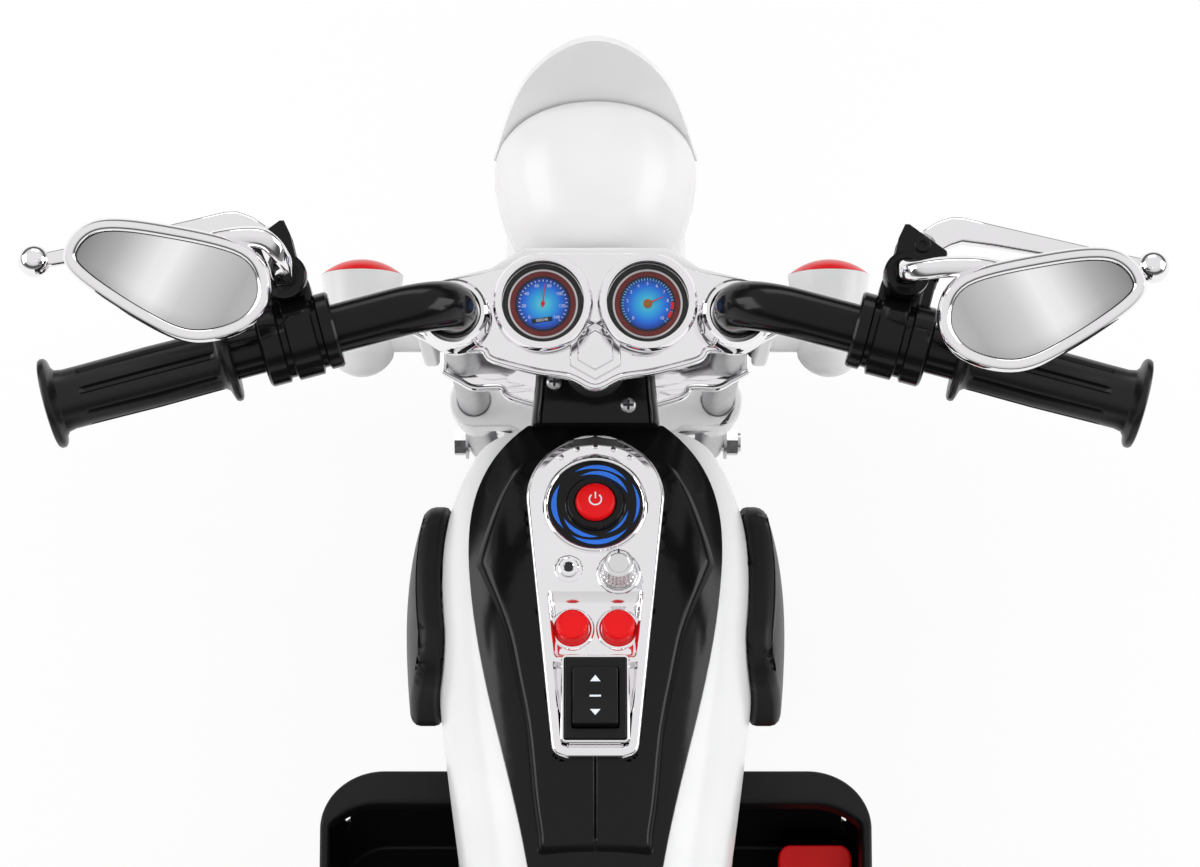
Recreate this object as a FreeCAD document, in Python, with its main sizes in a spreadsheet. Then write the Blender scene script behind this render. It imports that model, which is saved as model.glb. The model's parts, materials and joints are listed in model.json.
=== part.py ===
import FreeCAD, Part
import math
import os
import re

import Sketcher
from FreeCAD import Rotation, Vector

# A ride-on electric motorbike for a small child: one steered front wheel, two rear wheels, moulded covers.
# Frame: millimetres, +X to the rider's right, +Y forward, +Z up, origin on the floor under the middle.

SIZES = {
    # Clearances: running fits, pieces fixed together, pieces that move past each other, moulded wall.
    "fit_gap": 0.05,
    "seat_gap": 0.1,
    "run_gap": 0.4,
    "wall": 3,
    # Front wheel and its axle.
    "front_wheel_radius": 115,
    "front_tyre_width": 64,
    "front_rim_radius": 76,
    "tyre_crown": 40,
    "tyre_shoulder": 92,
    "rim_barrel": 5,
    "rim_web": 8,
    "hub_radius": 16,
    "spoke_window": 14,
    "spoke_circle": 44,
    "spoke_count": 5,
    "front_axle_y": 320,
    "fork_base": 115,
    "axle_radius": 5,
    "bolt_flats": 13,
    "bolt_head": 6,
    "washer_radius": 9,
    "washer": 1.5,
    # Fork: the tubes lean back by the rake, and the stem stands behind them.
    "rake": 26,
    "fork_half": 60,
    "fork_tube_radius": 7.75,
    "fork_tube_wall": 1.5,
    "fork_tail": 14,
    "steer_offset": 14,
    "stem_radius": 7.5,
    "head_tube_radius": 14,
    "fender_gap": 15,
    "fender_half_width": 46,
    "fender_skirt": 34,
    "fender_shoulder": 12,
    "fender_front": 62,
    "fender_sweep": 128,
    "yoke_thickness": 18,
    "yoke_half_width": 72,
    "yoke_back": 34,
    "yoke_front": 13,
    "yoke_shoulder": 42,
    "yoke_round": 12,
    "sleeve_radius": 11,
    "sleeve_length": 34,
    "clamp_low": 270,
    "clamp_high": 378,
    "clamp_plate": 6,
    "clamp_half_width": 77,
    "clamp_low_half_width": 70,
    "clamp_front": 15,
    "clamp_side_back": 13,
    "clamp_back": 29.5,
    "clamp_shoulder": 36,
    "clamp_round": 5,
    "deck_shoulder": 40,
    "deck_shoulder_front": 22,
    "deck_nose": 24,
    "deck_front": 29,
    "socket_radius": 14.5,
    "socket_height": 21,
    "nut_flats": 20,
    "nut_height": 5,
    # Fork cowl, headlamp, fly-screen and indicator lamps.
    "cowl_low": 306,
    "cowl_cheek": 7,
    "cowl_back": 8,
    "cowl_shoulder": 16,
    "cowl_bend": 45,
    "cowl_bend_front": 24,
    "cowl_front": 33,
    "cowl_nose": 31,
    "lamp_y": 190,
    "lamp_z": 445,
    "lamp_length": 60,
    "lamp_radius": 45,
    "lamp_foot": 28,
    "lamp_bulge": 60,
    "lamp_rim": 7,
    "lens_seat": 5,
    "lens_bulge": 6,
    "reflector_throat": 9,
    "screen_half_width": 45.5,
    "screen_top": 525,
    "screen_curve": 400,
    "indicator_out": 103,
    "indicator_forward": -1,
    "indicator_up": 341,
    "indicator_radius": 18,
    "indicator_waist": 14,
    "indicator_back": 17,
    "indicator_drum": 8,
    "indicator_front": 28,
    "indicator_lens": 7,
    "indicator_arm": 6,
    # Twin gauges on the top clamp.
    "gauge_half": 22.3,
    "gauge_forward": 5,
    "gauge_radius": 21,
    "gauge_foot": 13,
    "gauge_height": 18,
    "gauge_window": 17.5,
    "gauge_depth": 8,
    "gauge_web": 7,
    "dial": 1,
    "gauge_cover": 1.5,
    # Handlebars and grips, measured along the bar from the fork tube.
    "bar_radius": 10.3,
    "bar_wall": 1.8,
    "bar_rise": 52,
    "bar_bend": 24,
    "bar_sweep": 15,
    "bar_reach": 167,
    "grip_gap": 12,
    "grip_cap": 5,
    "grip_wall": 2.2,
    "grip_flange_radius": 19,
    "grip_flange": 4,
    # Control clamps and brake levers.
    "control_middle": 65,
    "control_length": 32,
    "control_radius": 17,
    "control_roll_left": 0,
    "control_roll_right": -6,
    "pivot_offset": 3,
    "pivot_forward": 43.5,
    "pivot_drop": 10,
    "pivot_pin": 3,
    "perch_plate": 3,
    "perch_half_width": 10.5,
    "perch_nose": 7.5,
    "perch_shoulder": 0.5,
    "lever_root": 8,
    "lever_thickness": 7,
    "lever_reach": 98,
    "lever_knee": 16,
    "lever_bow": 9.5,
    "lever_width": 11,
    "lever_splay": 11,
    "lever_tip_width": 7,
    "lever_ball": 6.75,
    # Mirrors: a pin in the control clamp, an arm and a teardrop shell, placed in the fork's frame.
    "mirror_offset": 1,
    "mirror_socket_forward": 24,
    "mirror_socket_radius": 8,
    "mirror_socket_top": 18,
    "mirror_pin": 4,
    "mirror_pin_depth": 12,
    "mirror_arm": 4.5,
    "mirror_left_x": 172,
    "mirror_left_forward": -0.3,
    "mirror_left_up": 477.5,
    "mirror_right_x": 179,
    "mirror_right_forward": -12.9,
    "mirror_right_up": 481,
    "mirror_pitch": 10,
    "mirror_half_length": 37,
    "mirror_half_height": 20,
    "mirror_border": 5,
    "mirror_depth": 15,
    "mirror_glass": 2,
    "mirror_back_share": 0.62,
    # Chassis tub, frame and neck.
    "chassis_half": 62,
    "chassis_front": 150,
    "chassis_rear": -345,
    "chassis_floor": 62,
    "chassis_top": 255,
    "chassis_step": -88,
    "chassis_wall": 4,
    "chassis_chamfer": 45,
    "block_y": 95,
    "frame_half": 12,
    "frame_back_z": 345,
    "neck_half": 27,
    "neck_height": 46,
    "neck_back": 60,
    "neck_drop": 32,
    "neck_lid": 4,
    "screw_radius": 3.6,
    "screw_head": 2.4,
    "screw_shank": 1.5,
    "screw_length": 8,
    "screw_spread": 18,
    # Tank: half widths and top heights at six stations from the neck to the seat.
    "tank_neck_y": 142,
    "tank_neck_half": 58,
    "tank_neck_top": 396,
    "tank_shoulder_y": 112,
    "tank_shoulder_half": 69,
    "tank_shoulder_top": 395,
    "tank_front_y": 70,
    "tank_front_half": 71,
    "tank_front_top": 391,
    "tank_middle_y": 20,
    "tank_middle_half": 66,
    "tank_middle_top": 382.5,
    "tank_waist_y": -35,
    "tank_waist_half": 57,
    "tank_waist_top": 366.5,
    "tank_tail_y": -86,
    "tank_tail_half": 50,
    "tank_tail_top": 345,
    "tank_foot": 58,
    "tank_foot_neck": 46,
    "tank_crown_drop": 15,
    "cover_rise": 2,
    "cover_neck_half": 25,
    "cover_shoulder_half": 52.5,
    "cover_front_half": 54.5,
    "cover_middle_half": 46.5,
    "cover_waist_half": 33,
    "cover_tail_half": 24,
    "pad_thickness": 13,
    "pad_front_y": 132,
    "pad_back_y": 40,
    "pad_low_z": 288,
    "pad_high_z": 358,
    "pad_round": 22,
    # Console panel in its own tilted frame, along the tank's top.
    "panel_margin": 13,
    "panel_front_z": 402.5,
    "panel_tilt": 9.3,
    "panel_length": 149,
    "panel_front_half": 30,
    "panel_back_half": 18,
    "panel_corner": 6,
    "panel_skirt": 9,
    "panel_plate": 3,
    "panel_hollow_half": 13,
    "panel_hollow_end": 12,
    # The panel's free length is shared between the gaps along it, in these parts.
    "gap_front": 3,
    "gap_knob": 1,
    "gap_button": 2.7,
    "gap_switch": 1.9,
    "gap_back": 1.9,
    "dish_radius": 21,
    "dish_plate": 1.5,
    "dish_ring_radius": 12.5,
    "dish_ring": 3,
    "start_radius": 8.5,
    "start_proud": 6.5,
    "button_depth": 10,
    "socket_x": -11.5,
    "socket_forward": 2,
    "jack_bore": 1.8,
    "jack_barrel": 4,
    "jack_flange": 6,
    "jack_rim": 1.2,
    "jack_depth": 14,
    "knob_x": 10,
    "knob_radius": 7,
    "knob_height": 12,
    "knob_shaft": 3,
    "button_x": 9.8,
    "button_radius": 7,
    "button_proud": 5,
    "switch_half_width": 13,
    "switch_half_length": 18.3,
    "switch_bezel": 2.5,
    "switch_body_half_width": 11.4,
    "switch_body_half_length": 15.5,
    "switch_depth": 18,
    "rocker_half_width": 9.6,
    "rocker_half_length": 12.8,
    "rocker_thickness": 6,
    "rocker_dip": 1.8,
    "rocker_pin": 1.5,
    # Footboards and the accelerator pedal.
    "board_out": 132,
    "board_front_y": 86,
    "board_back_y": -90,
    "board_floor": 104,
    "board_plate": 6,
    "board_top": 180,
    "board_side_top": 132,
    "board_wall": 5,
    "board_ledge": 18,
    "board_ledge_plate": 8,
    "board_corner": 30,
    "slot_half_width": 1.2,
    "slot_half_length": 6,
    "slot_inset": 11,
    "slot_up": 40,
    "pedal_x": 106.4,
    "pedal_half_width": 18,
    "pedal_pivot_y": 14,
    "pedal_pivot_up": 7,
    "pedal_length": 48,
    "pedal_rise": 29,
    "pedal_thickness": 6,
    "pedal_corner": 6,
    "pedal_hub": 6,
    "pedal_pin": 3,
    "pedal_ear": 4,
    # Rear wheels, axle and body.
    "rear_wheel_radius": 100,
    "rear_tyre_width": 70,
    "rear_wheel_out": 150,
    "rear_hub_half": 40,
    "rear_rim_radius": 64,
    "rear_web": 10,
    "rear_spoke_circle": 39,
    "rear_axle_y": -300,
    "rear_axle_radius": 6,
    "rear_hub_radius": 20,
    "spacer_radius": 11,
    "arch_gap": 12,
    "arch_wall": 4,
    "arch_in": 108,
    "arch_out": 192,
    "arch_front": 62,
    "arch_sweep": 128,
    "arch_skirt": 26,
    "deck_half": 66,
    "deck_rear_y": -255,
    "tail_half": 60,
    "tail_y": -418,
    "tail_drop": 12,
    "tail_lamp_half": 42,
    "tail_lamp_height": 26,
    "tail_lamp_depth": 17,
    # Seat stations from the tank to the tail.
    "seat_front_half": 53,
    "seat_front_top": 340,
    "seat_dip_y": -135,
    "seat_dip_half": 68,
    "seat_dip_top": 303,
    "seat_middle_y": -215,
    "seat_middle_half": 88,
    "seat_middle_top": 291,
    "seat_rear_y": -300,
    "seat_rear_half": 95,
    "seat_rear_top": 305,
    "seat_tail_half": 82,
    "seat_tail_top": 322,
    "seat_tail_y": -348,
    "seat_crown_drop": 16,
    # Drive and electrics inside the tub.
    "gear_module": 1.5,
    "gear_teeth": 48,
    "pinion_teeth": 16,
    "gear_width": 11,
    "mesh_gap": 0.15,
    "tooth_slack": 0.3,
    "tooth_height": 0.7,
    "tooth_root": 1.1,
    "motor_radius": 18,
    "motor_length": 45,
    "shaft_radius": 3,
    "gearbox_half": 44,
    "gearbox_front": 70,
    "gearbox_depth": 44,
    "battery_half": 45,
    "battery_front_y": -110,
    "battery_length": 90,
    "battery_height": 95,
    "board_half": 34,
    "electronics_y": -10,
    "electronics_half": 42,
    "electronics_plate": 2,
    "peg_height": 6,
    "peg_radius": 3,
}

# Places worked out from the sizes above, in the same words.
FORMULAS = {
    "axle_up": "(front_wheel_radius - fork_base) / cos(rake)",
    "axle_y": "front_axle_y - axle_up * sin(rake)",
    "fender_inner": "front_wheel_radius + fender_gap",
    "yoke_low": "axle_up + fender_inner + wall + seat_gap",
    "yoke_high": "yoke_low + yoke_thickness",
    "clamp_face": "clamp_high + clamp_plate",
    "bar_up": "clamp_face + bar_rise",
    "fork_outer": "fork_half + fork_tube_radius",
    "front_hub_half": "fork_half - fork_tube_radius - run_gap",
    "lamp_front": "lamp_y + lamp_length",
    "lens_radius": "lamp_radius - lamp_rim",
    "grip_radius": "bar_radius + grip_wall",
    "grip_start": "control_middle + control_length / 2 + grip_gap",
    "grip_end": "bar_reach + grip_cap",
    "pivot_along": "control_middle + pivot_offset",
    "mirror_along": "control_middle - mirror_offset",
    "tub_floor": "chassis_floor + chassis_wall",
    "rear_top": "2 * rear_wheel_radius + arch_gap",
    "deck_top": "rear_top + arch_wall",
    "neck_top": "clamp_high - neck_drop",
    "panel_y": "tank_neck_y - panel_margin - panel_length / 2 * cos(panel_tilt)",
    "panel_z": "panel_front_z - panel_length / 2 * sin(panel_tilt)",
    "fitted_half": "dish_radius + knob_radius + button_radius + switch_half_length",
    "gap_parts": "gap_front + gap_knob + gap_button + gap_switch + gap_back",
    "gap_part": "(panel_length - 2 * fitted_half) / gap_parts",
    "dish_u": "panel_length / 2 - gap_front * gap_part - dish_radius",
    "knob_u": "dish_u - dish_radius - gap_knob * gap_part - knob_radius",
    "socket_u": "knob_u + socket_forward",
    "button_u": "knob_u - knob_radius - gap_button * gap_part - button_radius",
    "switch_u": "button_u - button_radius - gap_switch * gap_part - switch_half_length",
    "board_deck": "board_floor + board_plate",
    "pedal_pivot_z": "board_deck + pedal_pivot_up",
    "gear_pitch": "gear_module * gear_teeth / 2",
    "pinion_pitch": "gear_module * pinion_teeth / 2",
    "pinion_y": "rear_axle_y + gear_pitch + pinion_pitch + mesh_gap",
    "gear_in": "rear_wheel_out - rear_hub_half - gear_width",
    "hub_in": "rear_wheel_out - rear_hub_half",
    "hub_out": "rear_wheel_out + rear_hub_half",
}

doc = FreeCAD.newDocument("RideOnMotorbike")
sheet = doc.addObject("Spreadsheet::Sheet", "Sizes")
for row, (alias, number) in enumerate(SIZES.items(), 1):
    sheet.set(f"A{row}", alias)
    sheet.set(f"B{row}", str(number))
    sheet.setAlias(f"B{row}", alias)
doc.recompute()

WORD = re.compile(r"[a-z][a-z_]+")
pieces = {}
places = {}


def cells(text):
    """A formula in the words above, as an expression on the sheet's cells."""
    def cell(match):
        word = match[0]
        if word in FORMULAS:
            return "(" + cells(FORMULAS[word]) + ")"
        return "Sizes." + word if word in SIZES else word
    return WORD.sub(cell, str(text))


def value(text):
    """The number, or the placement, that a formula gives."""
    found = sheet.evalExpression(cells(text))
    return float(found) if isinstance(found, (int, float)) else found


def bind(item, **formulas):
    """Ties an object's properties to the sheet."""
    for name, text in formulas.items():
        item.setExpression(name, cells(text))
        if name == "Placement":
            places[item.Name] = text
    return item


def put(frame, item):
    """Moves a form, with the place it has already, into a frame."""
    own = places.get(item.Name)
    return bind(item, Placement=f"{frame} * {own}" if own else frame)


def spot(x=0, y=0, z=0, axis="0; 0; 1", turn=0):
    """The formula of a place, turned about an axis."""
    return f"placement(vector({x}; {y}; {z}); rotation(vector({axis}); {turn}))"


ABOUT_X = "1; 0; 0"
ABOUT_Y = "0; 1; 0"
FORK = spot(0, "front_axle_y", "fork_base", ABOUT_X, "rake")
BAR = FORK + " * " + spot("fork_half", 0, "bar_up", turn="-bar_sweep")
PANEL = spot(0, "panel_y", "panel_z", ABOUT_X, "panel_tilt")
SIDES = ("left", "right")


def control_frame(side):
    """The frame of one control clamp: along the bar, forward and up, rolled about the bar."""
    return BAR + " * " + spot(axis=ABOUT_X, turn=f"control_roll_{side}")


def keep(label, item, frame=None):
    """Names a finished sub-part and puts it in its frame."""
    item.Label = label
    if frame:
        put(frame, item)
    pieces[label] = item
    return item


def solid(shape, name="Form"):
    """A sub-part whose shape is worked out from the sheet by the functions below."""
    item = doc.addObject("Part::Feature", name)
    item.Shape = shape
    return item


def box(x, y, z):
    """A block between a low and a high formula on each axis."""
    item = doc.addObject("Part::Box", "Block")
    spans = [f"({high}) - ({low})" for low, high in (x, y, z)]
    return bind(item, Length=spans[0], Width=spans[1], Height=spans[2], Placement=spot(x[0], y[0], z[0]))


def rod(radius, start, length, axis="z"):
    """A round bar from a start point along one axis."""
    item = doc.addObject("Part::Cylinder", "Rod")
    turned_about, angle = {"x": (ABOUT_Y, 90), "y": (ABOUT_X, -90), "z": (ABOUT_X, 0)}[axis]
    return bind(item, Radius=radius, Height=length, Placement=spot(*start, turned_about, angle))


def hexagon(flats, start, length, axis="z"):
    """A six-sided bar, measured across its flats."""
    item = doc.addObject("Part::Prism", "Hexagon")
    item.Polygon = 6
    turned_about, angle = {"x": (ABOUT_Y, 90), "z": (ABOUT_X, 0)}[axis]
    return bind(item, Circumradius=f"({flats}) / sqrt(3)", Height=length,
                Placement=spot(*start, turned_about, angle))


def fuse(*items):
    """Several forms grown together."""
    item = doc.addObject("Part::MultiFuse", "Joined")
    item.Shapes = list(items)
    item.Refine = True
    return item


def cut(base, *tools):
    """A form with others taken out of it."""
    for tool in tools:
        item = doc.addObject("Part::Cut", "Cut")
        item.Base = base
        item.Tool = tool
        base = item
    return base


def group(*items):
    """Separate solids that share a node."""
    item = doc.addObject("Part::Compound", "Group")
    item.Links = list(items)
    return item


def mirrored(item):
    """The same form on the left side."""
    copy = doc.addObject("Part::Mirroring", "Mirrored")
    copy.Source = item
    copy.Normal = Vector(1, 0, 0)
    return copy


def on_side(side, item):
    """A right-hand form as it is, or its mirror image for the left."""
    return item if side == "right" else mirrored(item)


def new_body(name):
    return doc.addObject("PartDesign::Body", name)


def outline(body, role, points, offset=0):
    """A closed sketch on one of the body's planes. A point's third value, if any, is the radius of the arc
    to the next point: positive turns left, negative turns right."""
    sketch = body.newObject("Sketcher::SketchObject", "Outline")
    plane = next(item for item in body.Origin.OriginFeatures if item.Role == role)
    sketch.AttachmentSupport = (plane, [""])
    sketch.MapMode = "FlatFace"
    bind(sketch, **{"AttachmentOffset.Base.z": offset})
    corners = [Vector(value(point[0]), value(point[1]), 0) for point in points]
    count = len(points)
    ends = []
    for index, point in enumerate(points):
        start = corners[index]
        end = corners[(index + 1) % count]
        if len(point) == 2:
            sketch.addGeometry(Part.LineSegment(start, end))
            ends.append((1, 2))
            continue
        radius = value(point[2])
        chord = end - start
        left = Vector(-chord.y, chord.x, 0).normalize()
        height = math.sqrt(max(radius ** 2 - (chord.Length / 2) ** 2, 0))
        centre = (start + end) * 0.5 + left * math.copysign(height, radius)
        first, last = (start, end) if radius > 0 else (end, start)
        angles = [math.atan2(at.y - centre.y, at.x - centre.x) for at in (first, last)]
        if angles[1] < angles[0]:
            angles[1] += 2 * math.pi
        sketch.addGeometry(Part.ArcOfCircle(Part.Circle(centre, Vector(0, 0, 1), abs(radius)), *angles))
        ends.append((1, 2) if radius > 0 else (2, 1))
    for index, point in enumerate(points):
        follower = (index + 1) % count
        meeting = (index, ends[index][1], follower, ends[follower][0])
        sketch.addConstraint(Sketcher.Constraint("Coincident", *meeting))
        for kind, text in (("DistanceX", point[0]), ("DistanceY", point[1])):
            number = sketch.addConstraint(
                Sketcher.Constraint(kind, -1, 1, index, ends[index][0], value(text)))
            sketch.setExpression(f"Constraints[{number}]", cells(text))
        if len(point) == 3:
            number = sketch.addConstraint(Sketcher.Constraint("Radius", index, abs(value(point[2]))))
            sketch.setExpression(f"Constraints[{number}]", cells(f"abs({point[2]})"))
    return sketch


def ring(body, role, radius, across=0, up=0, offset=0):
    """A circle on one of the body's planes."""
    sketch = body.newObject("Sketcher::SketchObject", "Circle")
    plane = next(item for item in body.Origin.OriginFeatures if item.Role == role)
    sketch.AttachmentSupport = (plane, [""])
    sketch.MapMode = "FlatFace"
    bind(sketch, **{"AttachmentOffset.Base.z": offset})
    centre = Vector(value(across), value(up), 0)
    sketch.addGeometry(Part.Circle(centre, Vector(0, 0, 1), value(radius)))
    for kind, text in (("DistanceX", across), ("DistanceY", up)):
        number = sketch.addConstraint(Sketcher.Constraint(kind, -1, 1, 0, 3, value(text)))
        sketch.setExpression(f"Constraints[{number}]", cells(text))
    number = sketch.addConstraint(Sketcher.Constraint("Radius", 0, value(radius)))
    sketch.setExpression(f"Constraints[{number}]", cells(radius))
    return sketch


def dome(rim_radius, rise):
    """The radius of a ball's cap with a given rim and height."""
    return f"(({rim_radius}) ^ 2 + ({rise}) ^ 2) / 2 / ({rise})"


def turned(name, points, axis="V_Axis", angle=360, role="XZ_Plane"):
    """A body turned from half its section: about the plane's upright (V) or level (H) axis."""
    body = new_body(name)
    turn = body.newObject("PartDesign::Revolution", "Turn")
    turn.Profile = outline(body, role, points)
    turn.ReferenceAxis = (turn.Profile[0], [axis])
    bind(turn, Angle=angle)
    return body


def padded(name, points, length, role="XY_Plane", offset=0, both_sides=False):
    """A body drawn from an outline, upwards or evenly to both sides."""
    body = new_body(name)
    pad = body.newObject("PartDesign::Pad", "Pad")
    pad.Profile = outline(body, role, points, offset)
    pad.Midplane = both_sides
    bind(pad, Length=length)
    return body


def pocket(body, sketch, length, both_sides=True, reverse=False):
    """Takes a sketch's shape out of a body, evenly to both sides of the sketch's plane or to one."""
    doc.recompute()
    before = body.Shape.Volume
    hole = body.newObject("PartDesign::Pocket", "Pocket")
    hole.Profile = sketch
    hole.Midplane = both_sides
    hole.Reversed = reverse
    bind(hole, Length=length)
    doc.recompute()
    if body.Shape.Volume >= before:
        raise RuntimeError(f"a pocket in {body.Name} takes nothing away")
    return hole


def rounded(body, radius, wanted):
    """Fillets the edges of a body that a test on the edge picks out."""
    doc.recompute()
    feature = body.Tip
    names = [f"Edge{number}" for number, edge in enumerate(feature.Shape.Edges, 1) if wanted(edge)]
    fillet = body.newObject("PartDesign::Fillet", "Round")
    fillet.Base = (feature, names)
    bind(fillet, Radius=radius)
    return fillet


def along(edge, direction):
    """Whether an edge is straight and runs along a direction."""
    if edge.Curve.TypeId != "Part::GeomLine":
        return False
    return abs(edge.tangentAt(edge.FirstParameter).dot(direction)) > 0.999


def smooth_wire(points, closed=False):
    curve = Part.BSplineCurve()
    curve.interpolate(Points=points, PeriodicFlag=closed)
    return curve.toShape()


# Front wheel: a moulded rim with round windows turns on the axle bolt, and the tyre sits on its barrel.
front_wheel_frame = spot(0, "axle_y", "front_wheel_radius")
keep("front_tyre", turned("FrontTyre", [
    ("-front_tyre_width / 2", "front_rim_radius + seat_gap"),
    ("front_tyre_width / 2", "front_rim_radius + seat_gap"),
    ("front_tyre_width / 2", "tyre_shoulder", "tyre_crown"),
    ("0", "front_wheel_radius", "tyre_crown"),
    ("-front_tyre_width / 2", "tyre_shoulder"),
], "H_Axis"), front_wheel_frame)


def wheel_section(half_width, hub_half, bore, hub, barrel_in, barrel_out, web):
    """Half of a wheel's section: hub, web and barrel."""
    right = [(hub_half, bore), (hub_half, hub), (f"({web}) / 2", hub), (f"({web}) / 2", barrel_in),
             (half_width, barrel_in), (half_width, barrel_out)]
    left = [(f"-({across})", up) for across, up in reversed(right)]
    return right + left


def windows(body, circle):
    """Round openings through a wheel's web, spaced evenly."""
    hole = pocket(body, ring(body, "YZ_Plane", "spoke_window", 0, circle), "front_tyre_width * 2")
    pattern = body.newObject("PartDesign::PolarPattern", "Windows")
    pattern.Originals = [hole]
    pattern.Axis = (next(item for item in body.Origin.OriginFeatures if item.Role == "X_Axis"), [""])
    pattern.Angle = 360
    bind(pattern, Occurrences="spoke_count")
    body.Tip = pattern


front_rim = turned("FrontRim", wheel_section(
    "front_tyre_width / 2 - wall", "front_hub_half", "axle_radius + fit_gap", "hub_radius",
    "front_rim_radius - rim_barrel", "front_rim_radius", "rim_web"), "H_Axis")
windows(front_rim, "spoke_circle")
keep("front_rim", front_rim, front_wheel_frame)

bolt_reach = "fork_outer + seat_gap + washer + bolt_head"
shank = rod("axle_radius", (f"-({bolt_reach})", 0, 0), f"2 * ({bolt_reach}) + washer", "x")
left_washer = rod("washer_radius", ("-fork_outer - seat_gap - washer", 0, 0), "washer", "x")
bolt_head = hexagon("bolt_flats", (f"-({bolt_reach})", 0, 0), "bolt_head", "x")
right_washer = rod("washer_radius", ("fork_outer + seat_gap", 0, 0), "washer", "x")
nut_body = hexagon("bolt_flats", ("fork_outer + seat_gap + washer", 0, 0), "bolt_head", "x")
nut_bore = rod("axle_radius + seat_gap", ("fork_half", 0, 0), "fork_half", "x")
bolt = fuse(shank, left_washer, bolt_head)
nut = cut(fuse(right_washer, nut_body), nut_bore)
keep("front_axle", group(bolt, nut), FORK + " * " + spot(0, 0, "axle_up"))

# Fork: two steel tubes through a moulded white yoke, tied by two chrome clamp plates and the stem.
tubes = []
for sign in ("-", ""):
    start = (f"{sign}fork_half", 0, "axle_up - fork_tail")
    tube_length = "clamp_high - (axle_up - fork_tail)"
    tube = rod("fork_tube_radius", start, tube_length)
    hollow = rod("fork_tube_radius - fork_tube_wall", start, tube_length)
    cross = rod("axle_radius + seat_gap", (f"{sign}fork_half - 2 * fork_tube_radius", 0, "axle_up"),
                "4 * fork_tube_radius", "x")
    tubes.append(cut(tube, hollow, cross))
keep("fork_tubes", group(*tubes), FORK)
keep("steering_stem", rod("stem_radius", (0, "-steer_offset", "yoke_low"), "clamp_face - yoke_low"), FORK)
keep("stem_nut", hexagon("nut_flats", (0, "-steer_offset", "clamp_face"), "nut_height"), FORK)


def fork_holes(low, high):
    """Seats for the stem and both fork tubes through a plate."""
    length = f"({high}) - ({low})"
    return [rod("stem_radius + seat_gap", (0, "-steer_offset", low), length)] + [
        rod("fork_tube_radius + seat_gap", (f"{sign}fork_half", 0, low), length) for sign in ("-", "")]


def plate_points(half_width, front, side_back, back, shoulder, nose=()):
    """A clamp plate seen from above: pointed towards the rider, straight in front or with a nose."""
    right = [("stem_radius", f"-({back})"), (shoulder, f"-({side_back})"), (half_width, f"-({side_back})"),
             (half_width, front), *nose]
    return right + [(f"-({across})", up) for across, up in reversed(right)]


def end_corner(edge):
    """Whether an edge is an upright one outside the fork tubes."""
    return along(edge, Vector(0, 0, 1)) and abs(edge.CenterOfMass.x) > value("fork_half")


def clamp_plate(name, low, half_width, nose=()):
    """A plate that ties the fork tubes, with rounded ends."""
    points = plate_points(half_width, "clamp_front", "clamp_side_back", "clamp_back", "clamp_shoulder", nose)
    body = padded(name, points, "clamp_plate", offset=low)
    rounded(body, "clamp_round", end_corner)
    return body


yoke_points = plate_points("yoke_half_width", "yoke_front", "yoke_front", "yoke_back", "yoke_shoulder")
yoke = padded("Yoke", yoke_points, "yoke_thickness", offset="yoke_low")
rounded(yoke, "yoke_round", end_corner)
sleeves = [rod("sleeve_radius", (f"{sign}fork_half", 0, "yoke_low - sleeve_length"), "sleeve_length")
           for sign in ("-", "")]
keep("fork_yoke", cut(fuse(yoke, *sleeves), *fork_holes("yoke_low - sleeve_length", "yoke_high")), FORK)
keep("lower_clamp", cut(clamp_plate("LowerClamp", "clamp_low", "clamp_low_half_width"),
                        *fork_holes("clamp_low", "clamp_high")), FORK)
sockets = [rod("socket_radius", (f"{sign}fork_half", 0, "clamp_high"), "clamp_plate + socket_height")
           for sign in ("-", "")]
bar_seats = [rod("bar_radius + seat_gap", (f"{sign}fork_half", 0, "clamp_face"), "socket_height")
             for sign in ("-", "")]
stem_seat = rod("stem_radius + seat_gap", (0, "-steer_offset", "clamp_high"), "clamp_plate")
deck = clamp_plate("TopClamp", "clamp_high", "clamp_half_width",
                   [("deck_shoulder", "deck_shoulder_front"), ("deck_nose", "deck_front")])
keep("top_clamp", cut(fuse(deck, *sockets), stem_seat, *bar_seats), FORK)

# Front mudguard: a white arch with side skirts that follows the tyre and carries no load.
fender_outer = "fender_inner + wall"
half_in = "fender_half_width - wall"
keep("front_fender", turned("FrontFender", [
    ("-fender_half_width", "fender_inner - fender_skirt"),
    (f"-({half_in})", "fender_inner - fender_skirt"),
    (f"-({half_in})", "fender_inner - fender_shoulder + wall", "-fender_shoulder + wall"),
    (f"-({half_in}) + fender_shoulder - wall", "fender_inner"),
    (f"({half_in}) - fender_shoulder + wall", "fender_inner", "-fender_shoulder + wall"),
    (half_in, "fender_inner - fender_shoulder + wall"),
    (half_in, "fender_inner - fender_skirt"),
    ("fender_half_width", "fender_inner - fender_skirt"),
    ("fender_half_width", f"{fender_outer} - fender_shoulder", "fender_shoulder"),
    ("fender_half_width - fender_shoulder", fender_outer),
    ("-fender_half_width + fender_shoulder", fender_outer, "fender_shoulder"),
    ("-fender_half_width", f"{fender_outer} - fender_shoulder"),
], "H_Axis", "fender_sweep"), spot(0, "axle_y", "front_wheel_radius", ABOUT_X, "-fender_front"))

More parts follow.
